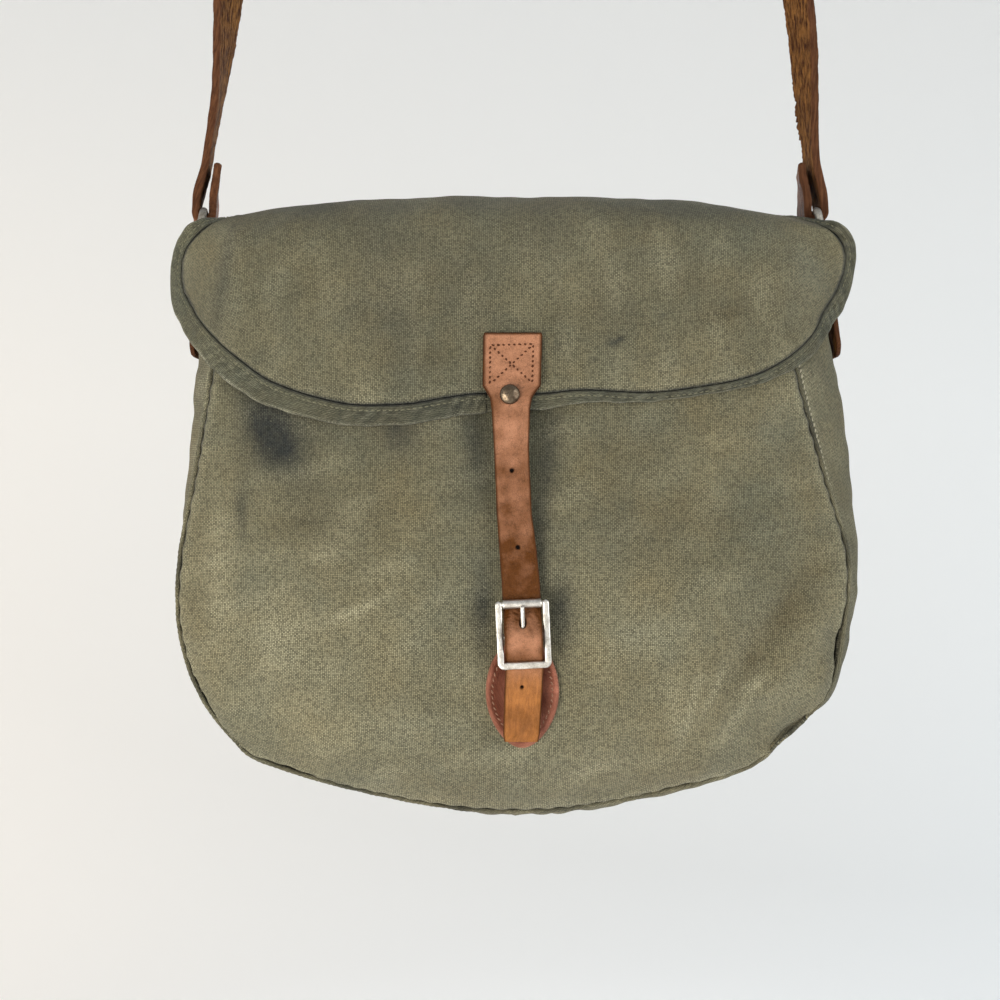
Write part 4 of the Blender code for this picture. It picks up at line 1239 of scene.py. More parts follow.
def make_flap():
    """The flap, its folds only outwards, with a hem at the back and a turned edge beside the binding."""
    grid, s = flap_grid(170, 150)
    level, upright = steps_along(grid, 1), steps_along(grid, 0)
    x, h = grid[..., 0], grid[..., 2]
    to_side, to_front = from_sides(level), upright[-1:] - upright
    edge = np.minimum(to_side, to_front)
    along = np.where(to_front < to_side, x, upright)
    under_strap = 0.9 * bell(x - 1.5, 20) * (1 - ease(238, 246, h))
    relief = 0.5 + 0.5 * rumple(x, upright, 66, 31) + 0.16 * rumple(x, upright, 23, 32)
    relief *= ease(2, 14, edge) * ease(16, 26, upright) * (1 - under_strap)
    puckers = np.sin(2 * np.pi * along / 9 + 2 * np.sin(along / 21)) * np.exp(-edge / 6)
    relief += 0.5 * bell(edge - 3.2, 2.2) + 0.22 * puckers + 0.45 * bell(upright - 8, 5)
    uv = np.stack([level - level[:, 85:86], np.broadcast_to(s, level.shape)], axis=-1)
    front = ease(10, 30, -grid[..., 1])
    stain = (0.08 + ovals(FLAP_STAINS_AND_SHADE, x, h, "dark")) * front + 0.9 * bell(edge, 1.1)
    stain += 0.1 * patches(x, upright, 60, 33) + 0.12 * bell(upright - 75, 14)
    soil = ovals(FLAP_SOIL, x, h, "dark") * front
    rub = 0.1 * bell(edge - 3, 2.5) + 0.1 * patches(x * 1.5, upright, 44, 34) + 0.12 * bell(upright - 2, 2)
    grid = grid + relief[..., None] * -outward(grid)
    grid, uv, stain, rub, soil = (part[::-1] for part in (grid, uv, stain, rub, soil))
    return surface("canvas_flap", grid, CANVAS_LOOK, "canvas", CANVAS, uv=uv, stain=stain, rub=rub, soil=soil)


def flap_border(grid):
    """The flap's edge from its left back corner round the front: points, normals and places along it."""
    normal = -outward(grid)
    rows, columns = grid.shape[:2]
    side = np.linspace(-2, -1, rows)
    along = np.concatenate([side, np.linspace(-1, 1, columns)[1:-1], -side[::-1]])
    i = np.concatenate([np.arange(rows), np.full(columns - 2, rows - 1), np.arange(rows)[::-1]])
    j = np.concatenate([np.zeros(rows, int), np.arange(1, columns - 1), np.full(rows, columns - 1)])
    return grid[i, j], normal[i, j], along


def softened(directions, reach):
    """Each direction averaged with its neighbours on both sides, weighted as a bell."""
    weight = bell(np.arange(-2 * reach, 2 * reach + 1), reach)
    padded = np.pad(directions, ((2 * reach, 2 * reach), (0, 0)), mode="edge")
    return unit(np.stack([np.convolve(column, weight, "valid") for column in padded.T], axis=1))


def rim_frame():
    """The binding's line in even steps: the middle of the cloth's edge, the directions outwards and off the
    face, its width and the way along it. The directions are averaged over a few steps, so it turns softly."""
    edge, normal, along = flap_border(flap_grid(120, 100)[0])
    way = lengths(edge)
    at = np.linspace(0, way[-1], RIM_STEPS)
    edge, normal = rows_at(at, way, edge), unit(rows_at(at, way, normal))
    along = np.interp(at, way, along)
    out = unit(np.cross(unit(np.gradient(edge, axis=0)), normal))
    lift = np.radians(read(RIM, "lift", along))[:, None]
    b = softened(np.cos(lift) * out - np.sin(lift) * normal, RIM_SOFT)
    n = softened(np.cos(lift) * normal + np.sin(lift) * out, RIM_SOFT)
    return edge - CANVAS / 2 * normal, b, n, read(RIM, "width", along), at


def rim_wave(at, a):
    """Puckers aslant the binding, uneven in size and place."""
    skew = 2 * np.sin(at / 27) + 1.6 * rumple(at, 0, 30, 44)
    pull = 0.6 + 0.4 * rumple(at, 0, 70, 41)
    return pull * (0.7 * np.sin(2 * np.pi * (at / 7.5 + a / 9) + skew) + 0.5 * rumple(at, a * 1.6, 7, 45))


def rim_grid(middle, b, n, width, at, more):
    """The binding's section along its frame: over the fold and back, then a tongue under the cloth.
    It returns the grid, 0 to 1 from the seam to the fold, the flat cloth's UV and the puckers."""
    half = RIM_THICK / 2 + more
    t = np.linspace(0, 1, 17)
    outer = np.sqrt(1 - ((t - 0.86) / 0.14).clip(0) ** 2)
    over = outer * (0.5 + 0.5 * np.sqrt(1 - (1 - t / 0.14).clip(0) ** 2))
    share = np.concatenate([t, t[-2::-1], [0, 0]])
    level = half * np.concatenate([over, -outer[-2::-1], [-0.8, -0.8]])
    start = np.concatenate([np.full(17, RIM_GAP), np.full(17, -RIM_TONGUE), [RIM_GAP]])
    a = start + share * (width[:, None] + more - start)
    flat = middle[:, None] + a[..., None] * b[:, None] + level[:, None] * n[:, None]
    shape = np.sin(np.pi * share) ** 0.7
    pressed = 0.3 * bell(a - RIM_STITCH, 0.9) * (level > 0)
    level = level + 0.5 * rim_wave(at[:, None], a) * shape - pressed
    a = a + 0.25 * rumple(at, 0, 12, 42)[:, None] * share * (share > 0.5)
    grid = middle[:, None] + a[..., None] * b[:, None] + level[..., None] * n[:, None]
    return grid, np.broadcast_to(share, a.shape), laid_out(flat, wrap=True), rim_wave(at[:, None], a) * shape


def make_rim():
    """The folded binding, its joint beside the closure strap, and the run of stitches through it."""
    whole = rim_frame()
    middle, b, n = whole[:3]
    pieces = []
    for name, rows, more in (
        ("flap_binding", slice(None), 0.0),
        ("flap_binding_joint", JOINT_ROWS, JOINT_MORE),
    ):
        parts = [part[rows] for part in whole]
        x, at = parts[0][:, :1], parts[-1]
        grid, share, uv, wave = rim_grid(*parts, more)
        frayed = 0.75 + 0.35 * rumple(at, 0, 18, 43)[:, None]
        worn = 0.45 + 0.45 * bell(x + 150, 40)
        rub = worn * ease(0.8, 0.98, share) * frayed + 0.24 * np.maximum(wave, 0)
        # painted shade: the hollows of the puckers are darker; the other terms are stains at the seam, on the
        # joint and left of the middle
        stain = 0.7 * bell(share, 0.06) + 0.36 * np.maximum(-wave, 0) + 0.5 * more + 0.34 * bell(x + 45, 60)
        pieces.append(surface(name, grid, BINDING_LOOK, "binding", wrap=True, uv=uv, rub=rub, stain=stain))
    line = middle + RIM_STITCH * b + (RIM_THICK / 2 - 0.02) * n
    keep = slice(34, -34)
    stitches("binding_stitches", line[keep], n[keep], OLIVE_THREAD, "binding", **BINDING_SEWING)
    return pieces


def make_seam_stitches():
    """The runs of pale thread beside the two long seams, and the rows that hold the flap to the back."""
    root = mouth_to_mouth(460, 0.35)
    for name, w in (("front", -1.0), ("back", 1.0)):
        line, inside = gusset_point(root, w * 0.966), gusset_point(root, w * 0.90)
        normal = unit(np.cross(np.gradient(line, axis=0), inside - line)) * w
        stitches("seam_stitches_" + name, line + 0.5 * normal, normal, PALE_THREAD, "canvas", **SEAM_SEWING)
    u = np.linspace(-0.985, 0.985, 240)
    for name, s in (("low", 4.0), ("high", 12.0)):
        line, ahead = (flap_at(u, np.full(u.shape, place)) for place in (s, s + 1.0))
        normal = -unit(np.cross(np.gradient(line, axis=0), ahead - line))
        normal *= np.sign(normal[:, 1:2])
        line = line + (0.25 + 0.45 * bell(s - 8, 5)) * normal
        stitches("flap_hem_stitches_" + name, line, normal, OLIVE_THREAD, "canvas", **HEM_SEWING)


# The leather


def turned(points, side, yaw):
    """Points and directions turned about the upright line through a ring's upper bar."""
    yaw = np.broadcast_to(np.radians(yaw), len(points))
    sine, cosine = np.sin(yaw), np.cos(yaw)
    x, y = np.abs(points[:, 0]) - BAR_X, points[:, 1]
    moved = np.stack([side * (BAR_X + x * cosine - y * sine), y * cosine + x * sine, points[:, 2]], axis=1)
    return moved, np.stack([-side * sine, cosine, np.zeros(len(points))], axis=1)


def flat_path(side, plan):
    """Points from outward x and h, in the upright plane Y = 0."""
    plan = np.asarray(plan)
    return np.stack([side * plan[:, 0], np.zeros(len(plan)), plan[:, 1]], axis=1)


def strap_side(side):
    """The shoulder strap from its tucked end, round the ring's upper bar and up to the top."""
    name = SIDE_NAMES[side]
    tuck = np.stack([STRAP_TUCK["x"], STRAP_TUCK["h"]], axis=1)
    fold = arc((BAR_X, BAR_H), WIRE_R + GAP + STRAP_THICK / 2, 180, 360, 25)
    run = np.stack([STRAP_RUN[name], STRAP_RUN["h"]], axis=1)
    run = curve_through(np.concatenate([fold[-1:], run]), 520)[1:]
    tuck = curve_through(np.concatenate([tuck, fold[:1]]), 34)[:-1]
    path = flat_path(side, np.concatenate([tuck, fold, run]))
    twist = TUCK_TWIST[side] * ease(312, 328, path[:, 2]) * (np.arange(len(path)) < len(tuck))
    return turned(path, side, read(STRAP_YAW, name, path[:, 2]) + twist)


def leather_masks(share, side_through, age):
    """The flesh side is where the section faces inwards, and an edge is near the ends of its width."""
    flesh = ease(0.5, 0.9, side_through) * (1 - ease(0.93, 0.99, np.abs(share)))
    return {"flesh": flesh, "edge": ease(0.9, 1.0, np.abs(share)), "age": age}


def make_shoulder_strap():
    """One band over both sides, worn thin and ragged along its back edge low on the right."""
    path, wide = (np.concatenate([left, right[-2::-1]]) for left, right in zip(strap_side(-1), strap_side(1)))
    face = unit(np.cross(wide, np.gradient(path, axis=0)))
    grid, share, through, along = ribbon(path, wide, face, STRAP_WIDE / 2, STRAP_THICK, 17, worn_end=1.6)
    uv = laid_out(grid, wrap=True)
    high, right_side = path[:, 2:], path[:, :1] > 0
    back = ease(0.6, 1, share)
    torn = right_side * between(318, 345, 368, 392, high)
    bite = torn * back * (1.3 + 1.1 * rumple(along, 0, 9, 51) + 1.2 * rumple(along, 0, 3.2, 52))
    low_part = 1 - ease(380, 470, high)
    ragged = (0.22 + 0.25 * low_part * back) * rumple(along, share * 4, 4, 53) * ease(0.9, 1, np.abs(share))
    cross = wide[:, None] * -(np.maximum(bite, 0) + ragged * np.sign(share))[..., None]
    swell = 0.16 * rumple(along, share * 12, 14, 54) + 0.12 * rumple(along, share * 12, 5, 55) * (through > 0)
    grid = grid + cross + (swell * np.sign(through))[..., None] * face[:, None]
    age = 0.45 + 0.3 * rumple(along, share * 10, 60, 56) + 0.2 * rumple(along, share * 20, 16, 57)
    masks = leather_masks(share, through, age)
    surface("leather_shoulder_strap", grid, STRAP_LEATHER, "leather", wrap=True, uv=uv, **masks)
    make_fray(path, wide, face)


def make_fray(path, wide, face):
    """Loose fibres on the strap's back edges: thin cones that bend as they leave it. Three are long."""
    rng = np.random.default_rng(7)
    along = lengths(path)
    low = (path[:, 2] > 330) & (path[:, 2] < 455)
    right = along[low & (path[:, 0] > 0)]
    left = along[low & (path[:, 0] < 0)]
    spots = np.concatenate([rng.uniform(right.min(), right.max(), 60), rng.uniform(left.min(), left.max(), 34)])
    size = np.concatenate([rng.gamma(2.0, 0.55, 60), rng.gamma(1.5, 0.25, 34)]) + 0.4
    spots[:3], size[:3] = right.max() - np.array([62, 64.5, 26.0]), (4.2, 3.0, 3.4)
    base, out, flat = rows_at(spots, along, path), *(unit(rows_at(spots, along, way)) for way in (wide, face))
    way = unit(np.cross(out, flat))
    bend, sway = (rng.normal(0, spread, (len(spots), 1)) for spread in (0.35, 0.3))
    depth = rng.uniform(-1.3, 1.3, (len(spots), 1))
    size = size[:, None]
    t = np.array([-0.35, 0.0, 0.3, 0.65, 1.0])
    core = base[:, None] + (STRAP_WIDE / 2 - 0.2 + size * t)[..., None] * out[:, None]
    core += (depth + size * sway * t**2)[..., None] * flat[:, None]
    core += (size * bend * np.maximum(t, 0))[..., None] * way[:, None]
    radius = 0.3 * size**0.4 * (1.02 - np.maximum(t, 0))
    ends = [(0, 1, 2, 3, 4), (20, 21, 22, 23, 24)]
    rods("strap_fray", core, way, flat, radius, 5, ends, [1, 2], STRAP_LEATHER, "leather", flesh=1.0)


def make_strap_stitches():
    """Two rows of thread across each tucked end, through both layers of the strap."""
    for side, name in SIDE_NAMES.items():
        path, wide = strap_side(side)
        outer = np.flatnonzero((path[:, 2] > 312) & (np.arange(len(path)) > 70))
        for row, h in (("low", 323.0), ("high", 328.5)):
            k = outer[np.argmin(np.abs(path[outer, 2] - h))]
            face = unit(np.cross(wide[k], path[k + 1] - path[k - 1]))
            out = face * np.sign(face[0] * side)
            line = path[k] + np.linspace(-9.5, 9.5, 24)[:, None] * wide[k] + (STRAP_THICK / 2 + 0.05) * out
            stitches(f"strap_stitches_{name}_{row}", line, out, TAN_THREAD, "leather", **STRAP_SEWING)


def tab_path(side):
    """A loop over the ring's lower bar, one leg on the gusset and one standing off it."""
    rest = GAP + TAB_THICK / 2
    inner, outer = (
        np.stack([gusset_reach(side, leg["h"]) + rest + leg["stand_off"], leg["h"]], axis=1)
        for leg in (TAB_INNER, TAB_OUTER)
    )
    over = arc((LOW_BAR_X, LOW_BAR_H), WIRE_R + rest, 180, 0, 25)
    outer[0, 0] = max(outer[0, 0], over[-1, 0] - TAB_NIP)
    rising = curve_through([*inner, over[0]], 44)[:-1]
    falling = curve_through([over[-1], *outer], 64)[1:]
    path = flat_path(side, np.concatenate([rising, over, falling]))
    return turned(path, side, STRAP_YAW[SIDE_NAMES[side]][0] * ease(*TAB_YAW_H, path[:, 2]))


def make_tab(side):
    """The leather loop, its outer leg's end cut round, with a box of stitches through both legs."""
    name = SIDE_NAMES[side]
    path, wide = tab_path(side)
    face = unit(np.cross(wide, np.gradient(path, axis=0)))
    to_end = lengths(path)[-1] - lengths(path)
    half = STRAP_WIDE / 2 * (1 - 0.5 * np.maximum(1 - to_end / 9, 0) ** 2.2)
    grid, share, through, along = ribbon(path, wide, face, half, TAB_THICK, 15, worn_end=1.2)
    swell = 0.14 * rumple(along, share * 12, 12, 61)
    grid = grid + (swell * np.sign(through))[..., None] * face[:, None]
    masks = leather_masks(share, through * side, 0.5 + 0.3 * rumple(along, share * 10, 30, 62))
    surface("leather_tab_" + name, grid, STRAP_LEATHER, "leather", wrap=True, **masks)
    outer = np.flatnonzero((np.arange(len(path)) > 70) & (path[:, 2] > 238) & (path[:, 2] < 262))
    out = -side * face[outer]
    out *= np.sign(out[:, :1] * side)
    lift = TAB_THICK / 2 + 0.06
    lines = {
        part: (path[outer] + share_at * STRAP_WIDE / 2 * wide[outer] + lift * out, out)
        for part, share_at in (("front", -0.72), ("back", 0.72))
    }
    for part, end in (("top", 0), ("low", -1)):
        k, normal = outer[end], unit(out[end])
        lines[part] = path[k] + np.linspace(-8, 8, 20)[:, None] * wide[k] + lift * normal, normal
    for part, (line, normal) in lines.items():
        stitches(f"tab_stitches_{name}_{part}", line, normal, TAN_THREAD, "leather", **TAB_SEWING)


def crossing(first, radius, second, other_radius, turn):
    """The angle at which a strap leaves one round bar to cross to the far side of the next."""
    away = second - first
    lean = math.acos((radius + other_radius) / np.linalg.norm(away))
    return math.degrees(math.atan2(away[1], away[0]) + turn * lean)


def closure_line():
    """The closure strap in side view, y and h: behind the roller, over the middle bar, behind the foot bar."""
    behind_roller = ROLLER_R + WRAP_GAP + LEATHER / 2
    over_centre = PRONG_LOOP_R + PRONG_R + WRAP_GAP + LEATHER / 2
    behind_foot = math.hypot(RAIL_THICK, 3.2) / 2 + LEATHER / 2
    upper, lower = (
        np.stack([read(CLOSURE_FACE, "y", h), h], axis=1)
        for h in (np.linspace(237, 112, 240), np.linspace(70, 42, 60))
    )
    leave_roller = crossing(ROLLER_AT, behind_roller, CENTRE_AT, over_centre, 1)
    leave_centre = crossing(CENTRE_AT, over_centre, FOOT_AT, behind_foot, -1)
    wrap = [
        arc(ROLLER_AT, behind_roller, 0, leave_roller, 8),
        arc(CENTRE_AT, over_centre, leave_roller + 180, leave_centre + 360, 20),
        arc(FOOT_AT, behind_foot, leave_centre + 180, 0, 8),
    ]
    wrap = evenly(np.concatenate([upper[-1:], *wrap, lower[:1]]), 0.55)[1:-1]
    return np.concatenate([upper, wrap, lower])


def make_closure_strap():
    """The strap from its stitched end down through the buckle, with pressed holes and creases across it."""
    line = closure_line()
    x, half = (np.interp(line[:, 1], CLOSURE_PLAN["h"], CLOSURE_PLAN[name]) for name in ("x", "half"))
    path = np.stack([x, line[:, 0], line[:, 1]], axis=1)
    face = unit(np.cross(ALONG_X, np.gradient(path, axis=0) * (0, 1, 1)))
    grid, share, through, along = ribbon(path, ALONG_X, face, half, LEATHER, 45, 0.6)
    uv = laid_out(grid, wrap=True)
    high = path[:, 2:]
    to_edge = np.abs(share)
    grain_side = through < 0
    hole, lip = np.zeros((2, *share.shape))
    for hole_x, hole_h, radius in zip(*HOLES.values()):
        drawn = 0.75 if radius > 1.5 else 1
        away = np.hypot(grid[..., 0] - hole_x, (grid[..., 2] - hole_h) * drawn)
        hole = np.maximum(hole, 1 - ease(radius - 0.25, radius + 0.2, away))
        lip += 0.12 * bell(away - radius - 0.7, 0.5)
    hole = hole * grain_side
    in_buckle = between(*IN_BUCKLE_H, high)
    wrinkle = np.sin(2 * np.pi * along / 2.1 + 3 * rumple(share * 8, along, 9, 71))
    wrinkle = wrinkle * ease(93, 98, high) * in_buckle * (0.7 + 0.5 * rumple(share * 9, along, 5, 74))
    crease = -0.22 * bell(high - CREASE_H, 0.8) - 0.1 * bell(high - CREASE_H + 1.5, 2.5)
    relief = (0.09 * rumple(share * 8, along, 6, 72) + 0.2 * wrinkle + crease + lip) * grain_side
    relief -= 0.14 * bell(to_edge - 0.86, 0.05) * grain_side * ease(45, 60, high)
    grid = grid - (relief - 1.7 * hole)[..., None] * face[:, None]
    age = read(CLOSURE_AGE_AND_SHADE, "age", high) + 0.12 * rumple(share * 9, along, 13, 73)
    # darker near both edges all along; inside the buckle the darker sides are painted shade on the bulge, and
    # the hollows of the wrinkles get painted shade
    age = age + 0.25 * ease(0.8, 1, to_edge) + 0.5 * ease(0.55, 1, to_edge) * in_buckle
    age = age + 0.25 * np.maximum(-wrinkle, 0)
    masks = leather_masks(share, through, age)
    masks["flesh"] = masks["flesh"] + 0.8 * (1 - ease(66, 84, high))
    masks["edge"] = np.maximum(ease(0.87, 0.97, to_edge), ease(235.2, 236.2, high)) * grain_side
    surface("leather_closure_strap", grid, CLOSURE_LEATHER, "leather", wrap=True, uv=uv, hole=hole, **masks)


def make_closure_stitches():
    """A box open at its foot and a cross, in dark thread drawn tight into the leather."""
    for name, *ends in CLOSURE_LINES:
        x, h = (np.linspace(*(end[k] for end in ends), 24) for k in (0, 1))
        line = np.stack([x, read(CLOSURE_FACE, "y", h) - LEATHER / 2 - 0.02, h], axis=-1)
        normal = (0, -1.0, -0.2)
        stitches("closure_stitches_" + name, line, normal, BROWN_THREAD, "leather", **BOX_SEWING)


def in_place(points):
    """Points of the buckle moved to their place and leaned about the middle of its frame."""
    turn = math.radians(BUCKLE_LEAN)
    away = np.asarray(points, float) - (0, *CENTRE_AT)
    x = away[..., 0] * math.cos(turn) + away[..., 2] * math.sin(turn)
    h = away[..., 2] * math.cos(turn) - away[..., 0] * math.sin(turn)
    return np.stack([x, away[..., 1], h], axis=-1) + (BUCKLE_X, *CENTRE_AT)


def side_view(line):
    """Points at x = 0 from y and h."""
    return np.stack([np.zeros(len(line)), line[:, 0], line[:, 1]], axis=1)


def make_chape():
    """The loop that holds the middle bar, its tail on the patch."""
    loop = arc(CENTRE_AT, CENTRE_ROD_R + GAP + CHAPE_THICK / 2, 0, 255, 40)
    tail_h = np.array(CHAPE_TAIL_H)
    bag_y = np.minimum(front_y(PATCH_X - CHAPE_HALF, tail_h), front_y(PATCH_X + CHAPE_HALF, tail_h))
    tail_y = bag_y - PATCH_GAP - PATCH_THICK - CHAPE_GAP - CHAPE_THICK / 2
    tail = np.stack([tail_y, tail_h], axis=1)
    path = side_view(np.concatenate([curve_through([*tail, loop[0]], 50)[:-1], loop]))
    face = unit(np.cross(ALONG_X, np.gradient(path, axis=0)))
    grid, share, through, _ = ribbon(path, ALONG_X, face, CHAPE_HALF, CHAPE_THICK, 13, 0.5)
    masks = leather_masks(share, -through, 0.4)
    surface("leather_chape", in_place(grid), RED_LEATHER, "red_leather", wrap=True, **masks)


def patch_outline(turn, share):
    """The egg's outline at an angle, drawn in by a share of its size: wide above, narrow below."""
    narrow = 1 - 0.16 * np.maximum(-np.sin(turn), 0) ** 2
    tall = np.where(np.sin(turn) > 0, PATCH_UP, PATCH_DOWN)
    return PATCH_X + share * PATCH_HALF * narrow * np.cos(turn), PATCH_H + share * tall * np.sin(turn)


def on_patch(turn, share, rise):
    """Points that stand off the bag behind the patch, by its gap and this rise."""
    x, h = patch_outline(turn, share)
    return np.stack([x, front_y(x, h) - PATCH_GAP - rise, h], axis=-1)


def make_patch():
    """The egg-shaped patch: it follows the belly, thin at its skived edge, pressed along its stitches."""
    turn = around(120)
    share = np.concatenate([np.linspace(0.02, 0.7, 14), np.linspace(0.73, 0.985, 14), [1.0, 1.0]])[:, None]
    rise = PATCH_THICK * np.ones(share.shape)
    rise[-2], rise[-1] = PATCH_THICK * 0.72, 0.1
    rise = rise + 0.3 * bell(share - 0.92, 0.04) - 0.4 * bell(share - PATCH_SEWN, 0.035)
    rise = rise + 0.1 * rumple(*patch_outline(turn, share), 9, 81) * (share < 0.97)
    grid = np.concatenate([on_patch(turn, share, rise), on_patch(turn, share[::-1], -0.1)])
    none = np.zeros(grid.shape[:2])
    edge = np.concatenate([0.7 * ease(0.93, 1, share), 0 * share]) + none
    age = np.concatenate([0.75 - 0.5 * bell(share - 0.92, 0.06), 0 * share]) + none
    age += 0.2 * rumple(grid[..., 0], grid[..., 2], 14, 82)
    surface("leather_patch", grid, RED_LEATHER, "red_leather", wrap=True, edge=edge, age=age)
    line = on_patch(np.append(turn, turn[0]), PATCH_SEWN, PATCH_THICK - 0.2)
    stitches("patch_stitches", line, (0, -1.0, 0), TAN_THREAD, "red_leather", **PATCH_SEWING)


# The metal


def make_ring(side):
    """A rounded rectangle of wire, whose long bars lie across the strap."""
    name = SIDE_NAMES[side]
    low, high = np.array([LOW_BAR_X, LOW_BAR_H]), np.array([BAR_X, BAR_H])
    tall = np.linalg.norm(high - low) / 2
    line = []
    for a, b, first in ((1, 1, 0), (-1, 1, 90), (-1, -1, 180), (1, -1, 270)):
        centre = (a * (RING_HALF - RING_CORNER), b * (tall - RING_CORNER))
        line.append(arc(centre, RING_CORNER, first, first + 90, 14))
    line = evenly(np.concatenate([*line, line[0][:1]]), 0.8)[:-1]
    plan = (low + high) / 2 + line[:, 1:] * unit(high - low)
    path = np.stack([side * plan[:, 0], line[:, 0], plan[:, 1]], axis=1)
    path = turned(path, side, STRAP_YAW[name][0])[0]
    tangent = unit(np.roll(path, -1, axis=0) - np.roll(path, 1, axis=0))
    centre = path.mean(axis=0)
    flat = unit(np.cross(path[0] - centre, path[len(path) // 4] - centre))
    grid = wire(path, unit(np.cross(tangent, flat)), flat, WIRE_R, 24)
    surface("metal_ring_" + name, grid, RING_METAL, "steel", wrap=True, loop=True)


def rounded_end(to_end, size, least):
    """The share of its width that a bar keeps near a rounded end."""
    return np.sqrt(np.clip(1 - (1 - np.minimum(to_end / size, 1)) ** 2, least, 1))


def level_line(x, at):
    """Points along X through y and h."""
    return np.stack([x, np.full(len(x), at[0]), np.full(len(x), at[1])], axis=1)


def make_buckle():
    """The frame as one bent bar, open at its top, with two rods across it and a roller on the upper."""
    middle = FRAME_HALF - RAIL_WIDE / 2
    turn = FRAME_CORNER - RAIL_WIDE / 2 + 0.4
    foot, top = FOOT_AT[1], ROLLER_AT[1] + RAIL_WIDE / 2
    left = arc((-middle + turn, foot + turn), turn, 180, 270, 12)
    right = arc((middle - turn, foot + turn), turn, 270, 360, 12)
    line = evenly(np.concatenate([[(-middle, top)], left, right, [(middle, top)]]), 0.7)
    path = np.stack([line[:, 0], np.full(len(line), FOOT_AT[0]), line[:, 1]], axis=1)
    face = unit(np.cross(unit(np.gradient(path, axis=0)), ALONG_Y))
    along = lengths(line)
    end = rounded_end(np.minimum(along, along[::-1]), 1.6, 0.02)[:, None]
    spin = around(28)
    a = np.sign(np.cos(spin)) * np.abs(np.cos(spin)) ** 0.45 * RAIL_WIDE / 2
    b = np.sign(np.sin(spin)) * np.abs(np.sin(spin)) ** 0.6 * RAIL_THICK / 2
    worn = 1 + 0.02 * rumple(along[:, None], spin * 3, 6, 91)
    grid = path[:, None] + (worn * a * end)[..., None] * face[:, None]
    grid = grid + (worn * b * (0.55 + 0.45 * end))[..., None] * np.array(ALONG_Y)
    surface("buckle_bow", in_place(grid), NICKEL, "steel", wrap=True)
    for name, at, radius in (("upper", ROLLER_AT, TOP_ROD_R), ("middle", CENTRE_AT, CENTRE_ROD_R)):
        rod = wire(level_line(np.linspace(-middle, middle, 9), at), ALONG_Y, ALONG_Z, radius, 20)
        surface(f"buckle_{name}_rod", in_place(rod), NICKEL, "steel", wrap=True)
    half = FRAME_HALF - RAIL_WIDE - GAP
    x = half * np.array([-1, -0.995, -0.97, -0.9, -0.5, 0, 0.5, 0.9, 0.97, 0.995, 1])
    outer = ROLLER_R - 0.3 * (np.abs(x) / half) ** 60
    radius = np.concatenate([outer, np.full(len(outer), ROLLER_BORE_R)])
    line = level_line(np.concatenate([x, x[::-1]]), ROLLER_AT)
    grid = in_place(wire(line, ALONG_Y, ALONG_Z, radius, 40))
    surface("metal_roller", grid, NICKEL, "steel", wrap=True, loop=True)


def make_prong():
    """A wire looped round the middle bar, up through the strap to the roller, its tip rounded."""
    rest = np.array([ROLLER_AT[0] - ROLLER_R - GAP - PRONG_R, PRONG_TOP_H])
    loop = arc(CENTRE_AT, PRONG_LOOP_R, 465, 180, 60)
    path = side_view(np.concatenate([loop, evenly([loop[-1], rest], 0.5)[1:]]))
    radius = PRONG_R * rounded_end(lengths(path)[-1] - lengths(path), 1.1, 0.03)
    second = np.cross(unit(np.gradient(path, axis=0)), ALONG_X)
    surface("metal_prong", in_place(wire(path, ALONG_X, second, radius, 18)), NICKEL, "steel", wrap=True)


def make_rivet():
    """A domed head with a thin turned lip, dented a little, on a short shank."""
    face = read(CLOSURE_FACE, "y", RIVET_H)
    head_y = face - LEATHER / 2 - RIVET_GAP
    t = np.radians(np.linspace(0, 88, 20))
    radius = np.concatenate([[0.05, 1.4, 1.4, RIVET_R - 0.3, RIVET_R], RIVET_R * np.cos(t)])
    dome = head_y - 0.4 - RIVET_DOME * np.sin(t)
    y = np.concatenate([[face + 1.2, face + 1.2, head_y, head_y, head_y - 0.25], dome])
    grid = turned_shape(radius, y, (RIVET_X, RIVET_H))
    dent = 0.12 * rumple(grid[..., 0], grid[..., 2], 5, 95) * ease(0.3, 1.2, head_y - grid[..., 1])
    grid = grid + dent[..., None] * np.array(ALONG_Y)
    surface("metal_rivet", grid, RIVET_METAL, "brass", wrap=True)


# Light, floor and camera, in metres

LAMPS = (  # name, place, target, size, power, colour
    ("key", (-0.95, -1.4, -1.2), (0, 0, -0.66), 1.0, 28, (1.0, 0.94, 0.84)),
    ("fill", (1.3, -1.15, -0.5), (0, 0, -0.66), 0.8, 13, (0.93, 0.97, 1.0)),
    ("rear", (0.5, 1.7, 0.2), (0, 0, -0.66), 1.3, 16, (0.95, 0.97, 1.0)),
    ("wall_left", (-1.5, 1.3, -0.5), (-1.9, 3.2, -0.7), 0.9, 6, (1.0, 0.66, 0.32)),
    ("wall_right", (1.5, 1.3, -0.5), (1.9, 3.2, -0.7), 0.9, 4, (0.5, 0.75, 1.0)),
)
SKY, SKY_STRENGTH = (0.93, 0.96, 1.0, 1), 0.6
CAMERA_AT, LENS, SENSOR = (-0.00475, -0.638, -0.6555), 43.2, 36.0
FLOOR_Z, FLOOR_R, BEND_R, WALL_TOP = -1.75, 2.2, 1.4, (2.6, 4.4)


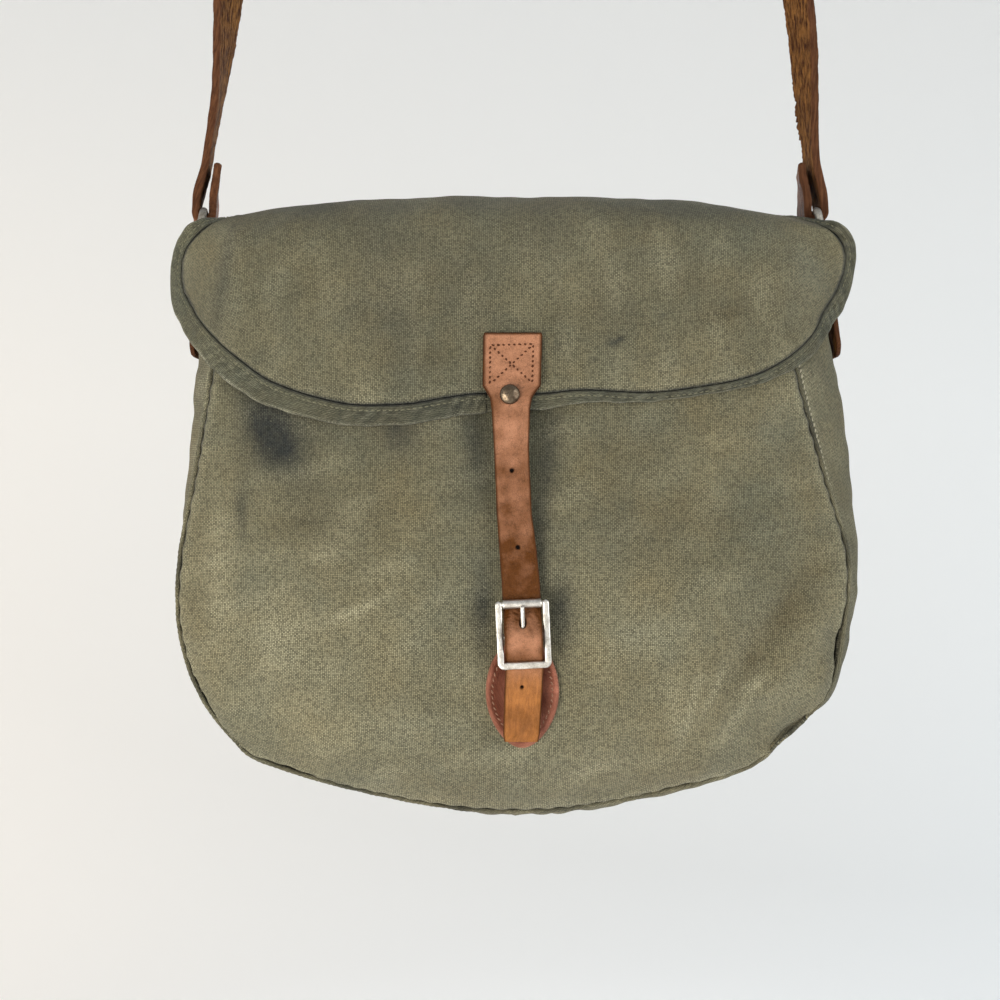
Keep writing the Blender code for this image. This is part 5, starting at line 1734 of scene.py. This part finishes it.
def make_floor():
    """A pale studio floor far below the bag, whose rim curves up into a wall all round."""
    turn = around(96)
    bend = np.radians(np.linspace(0, 90, 24))[1:]
    wall_r = FLOOR_R + BEND_R
    radius = np.concatenate([np.linspace(0.02, FLOOR_R, 12), FLOOR_R + BEND_R * np.sin(bend), [wall_r, wall_r]])
    z = np.concatenate([np.zeros(12), BEND_R * (1 - np.cos(bend)), WALL_TOP])[:, None] + FLOOR_Z + 0 * turn
    points = np.stack([np.outer(radius, np.cos(turn)), np.outer(radius, np.sin(turn)), z], axis=-1)
    i, j = grid_corners(*z.shape, wrap=True)
    faces = (i * len(turn) + j % len(turn)).tolist()
    mesh = bpy.data.meshes.new("studio_floor")
    mesh.from_pydata(points.reshape(-1, 3).tolist(), [], faces + [list(range(len(turn)))])
    mesh.shade_smooth()
    paint = new_material(
        "pale_floor", Roughness=0.9, Base_Color=(0.82, 0.82, 0.81, 1),
        Emission_Color=(0.98, 1.0, 1.0, 1), Emission_Strength=0.09
    )
    mesh.materials.append(paint[0])
    floor = linked("studio_floor", mesh)


def make_light():
    """A pale sky, a broad warm light low on the left, a cool one on the right, a lamp behind, and two for
    the wall. The lamps are squares that face their targets, and aren't seen themselves."""
    world = bpy.data.worlds.new("studio")
    world.use_nodes = True
    sky = world.node_tree.nodes["Background"].inputs
    sky["Color"].default_value, sky["Strength"].default_value = SKY, SKY_STRENGTH
    bpy.context.scene.world = world
    for name, location, target, size, power, colour in LAMPS:
        lamp = bpy.data.lights.new(name, "AREA")
        lamp.size, lamp.energy, lamp.color = size, power, colour
        made = linked(name, lamp)
        made.location = location
        away = np.array(location) - np.array(target)
        tilt = math.acos(away[2] / np.linalg.norm(away))
        made.rotation_euler = (tilt, 0, math.atan2(away[1], away[0]) + math.pi / 2)
        made.visible_camera = False


def make_camera():
    """Level, square on to the bag, where the photograph was taken from."""
    camera = bpy.data.cameras.new("camera")
    camera.lens, camera.sensor_width, camera.clip_start, camera.clip_end = LENS, SENSOR, 0.02, 30
    made = linked("camera", camera)
    made.location = CAMERA_AT
    made.rotation_euler = (math.pi / 2, 0, 0)
    bpy.context.scene.camera = made


REPLACED = {
    "canvas_front": "body_front",
    "canvas_back": "body_back",
    "canvas_gusset": "body_gusset",
    "canvas_flap": "flap",
    "flap_binding": "flap_rim",
    "leather_shoulder_strap": "shoulder_strap",
    "leather_tab_left": "ring_tab_left",
    "leather_tab_right": "ring_tab_right",
    "metal_ring_left": "ring_left",
    "metal_ring_right": "ring_right",
    "leather_closure_strap": "closure_strap",
    "metal_rivet": "closure_rivet",
    "buckle_bow": "buckle_frame",
    "metal_roller": "buckle_roller",
    "metal_prong": "buckle_prong",
    "leather_chape": "buckle_chape",
    "leather_patch": "buckle_patch",
}

for leftover in [o for o in bpy.data.objects if o.name in ("Cube", "Light", "Camera")]:
    bpy.data.objects.remove(leftover)
make_camera()
make_front()
make_back()
make_gusset()
flap = make_flap()
flap_edging = make_rim()
make_seam_welts()
make_seam_stitches()
make_shoulder_strap()
make_strap_stitches()
for side in SIDE_NAMES:
    make_ring(side)
    make_tab(side)
make_closure_strap()
make_closure_stitches()
make_patch()
make_chape()
make_buckle()
make_prong()
make_rivet()
for piece, node in REPLACED.items():
    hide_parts(node)
make_floor()
make_light()
bpy.context.scene.view_settings.view_transform = "Standard"
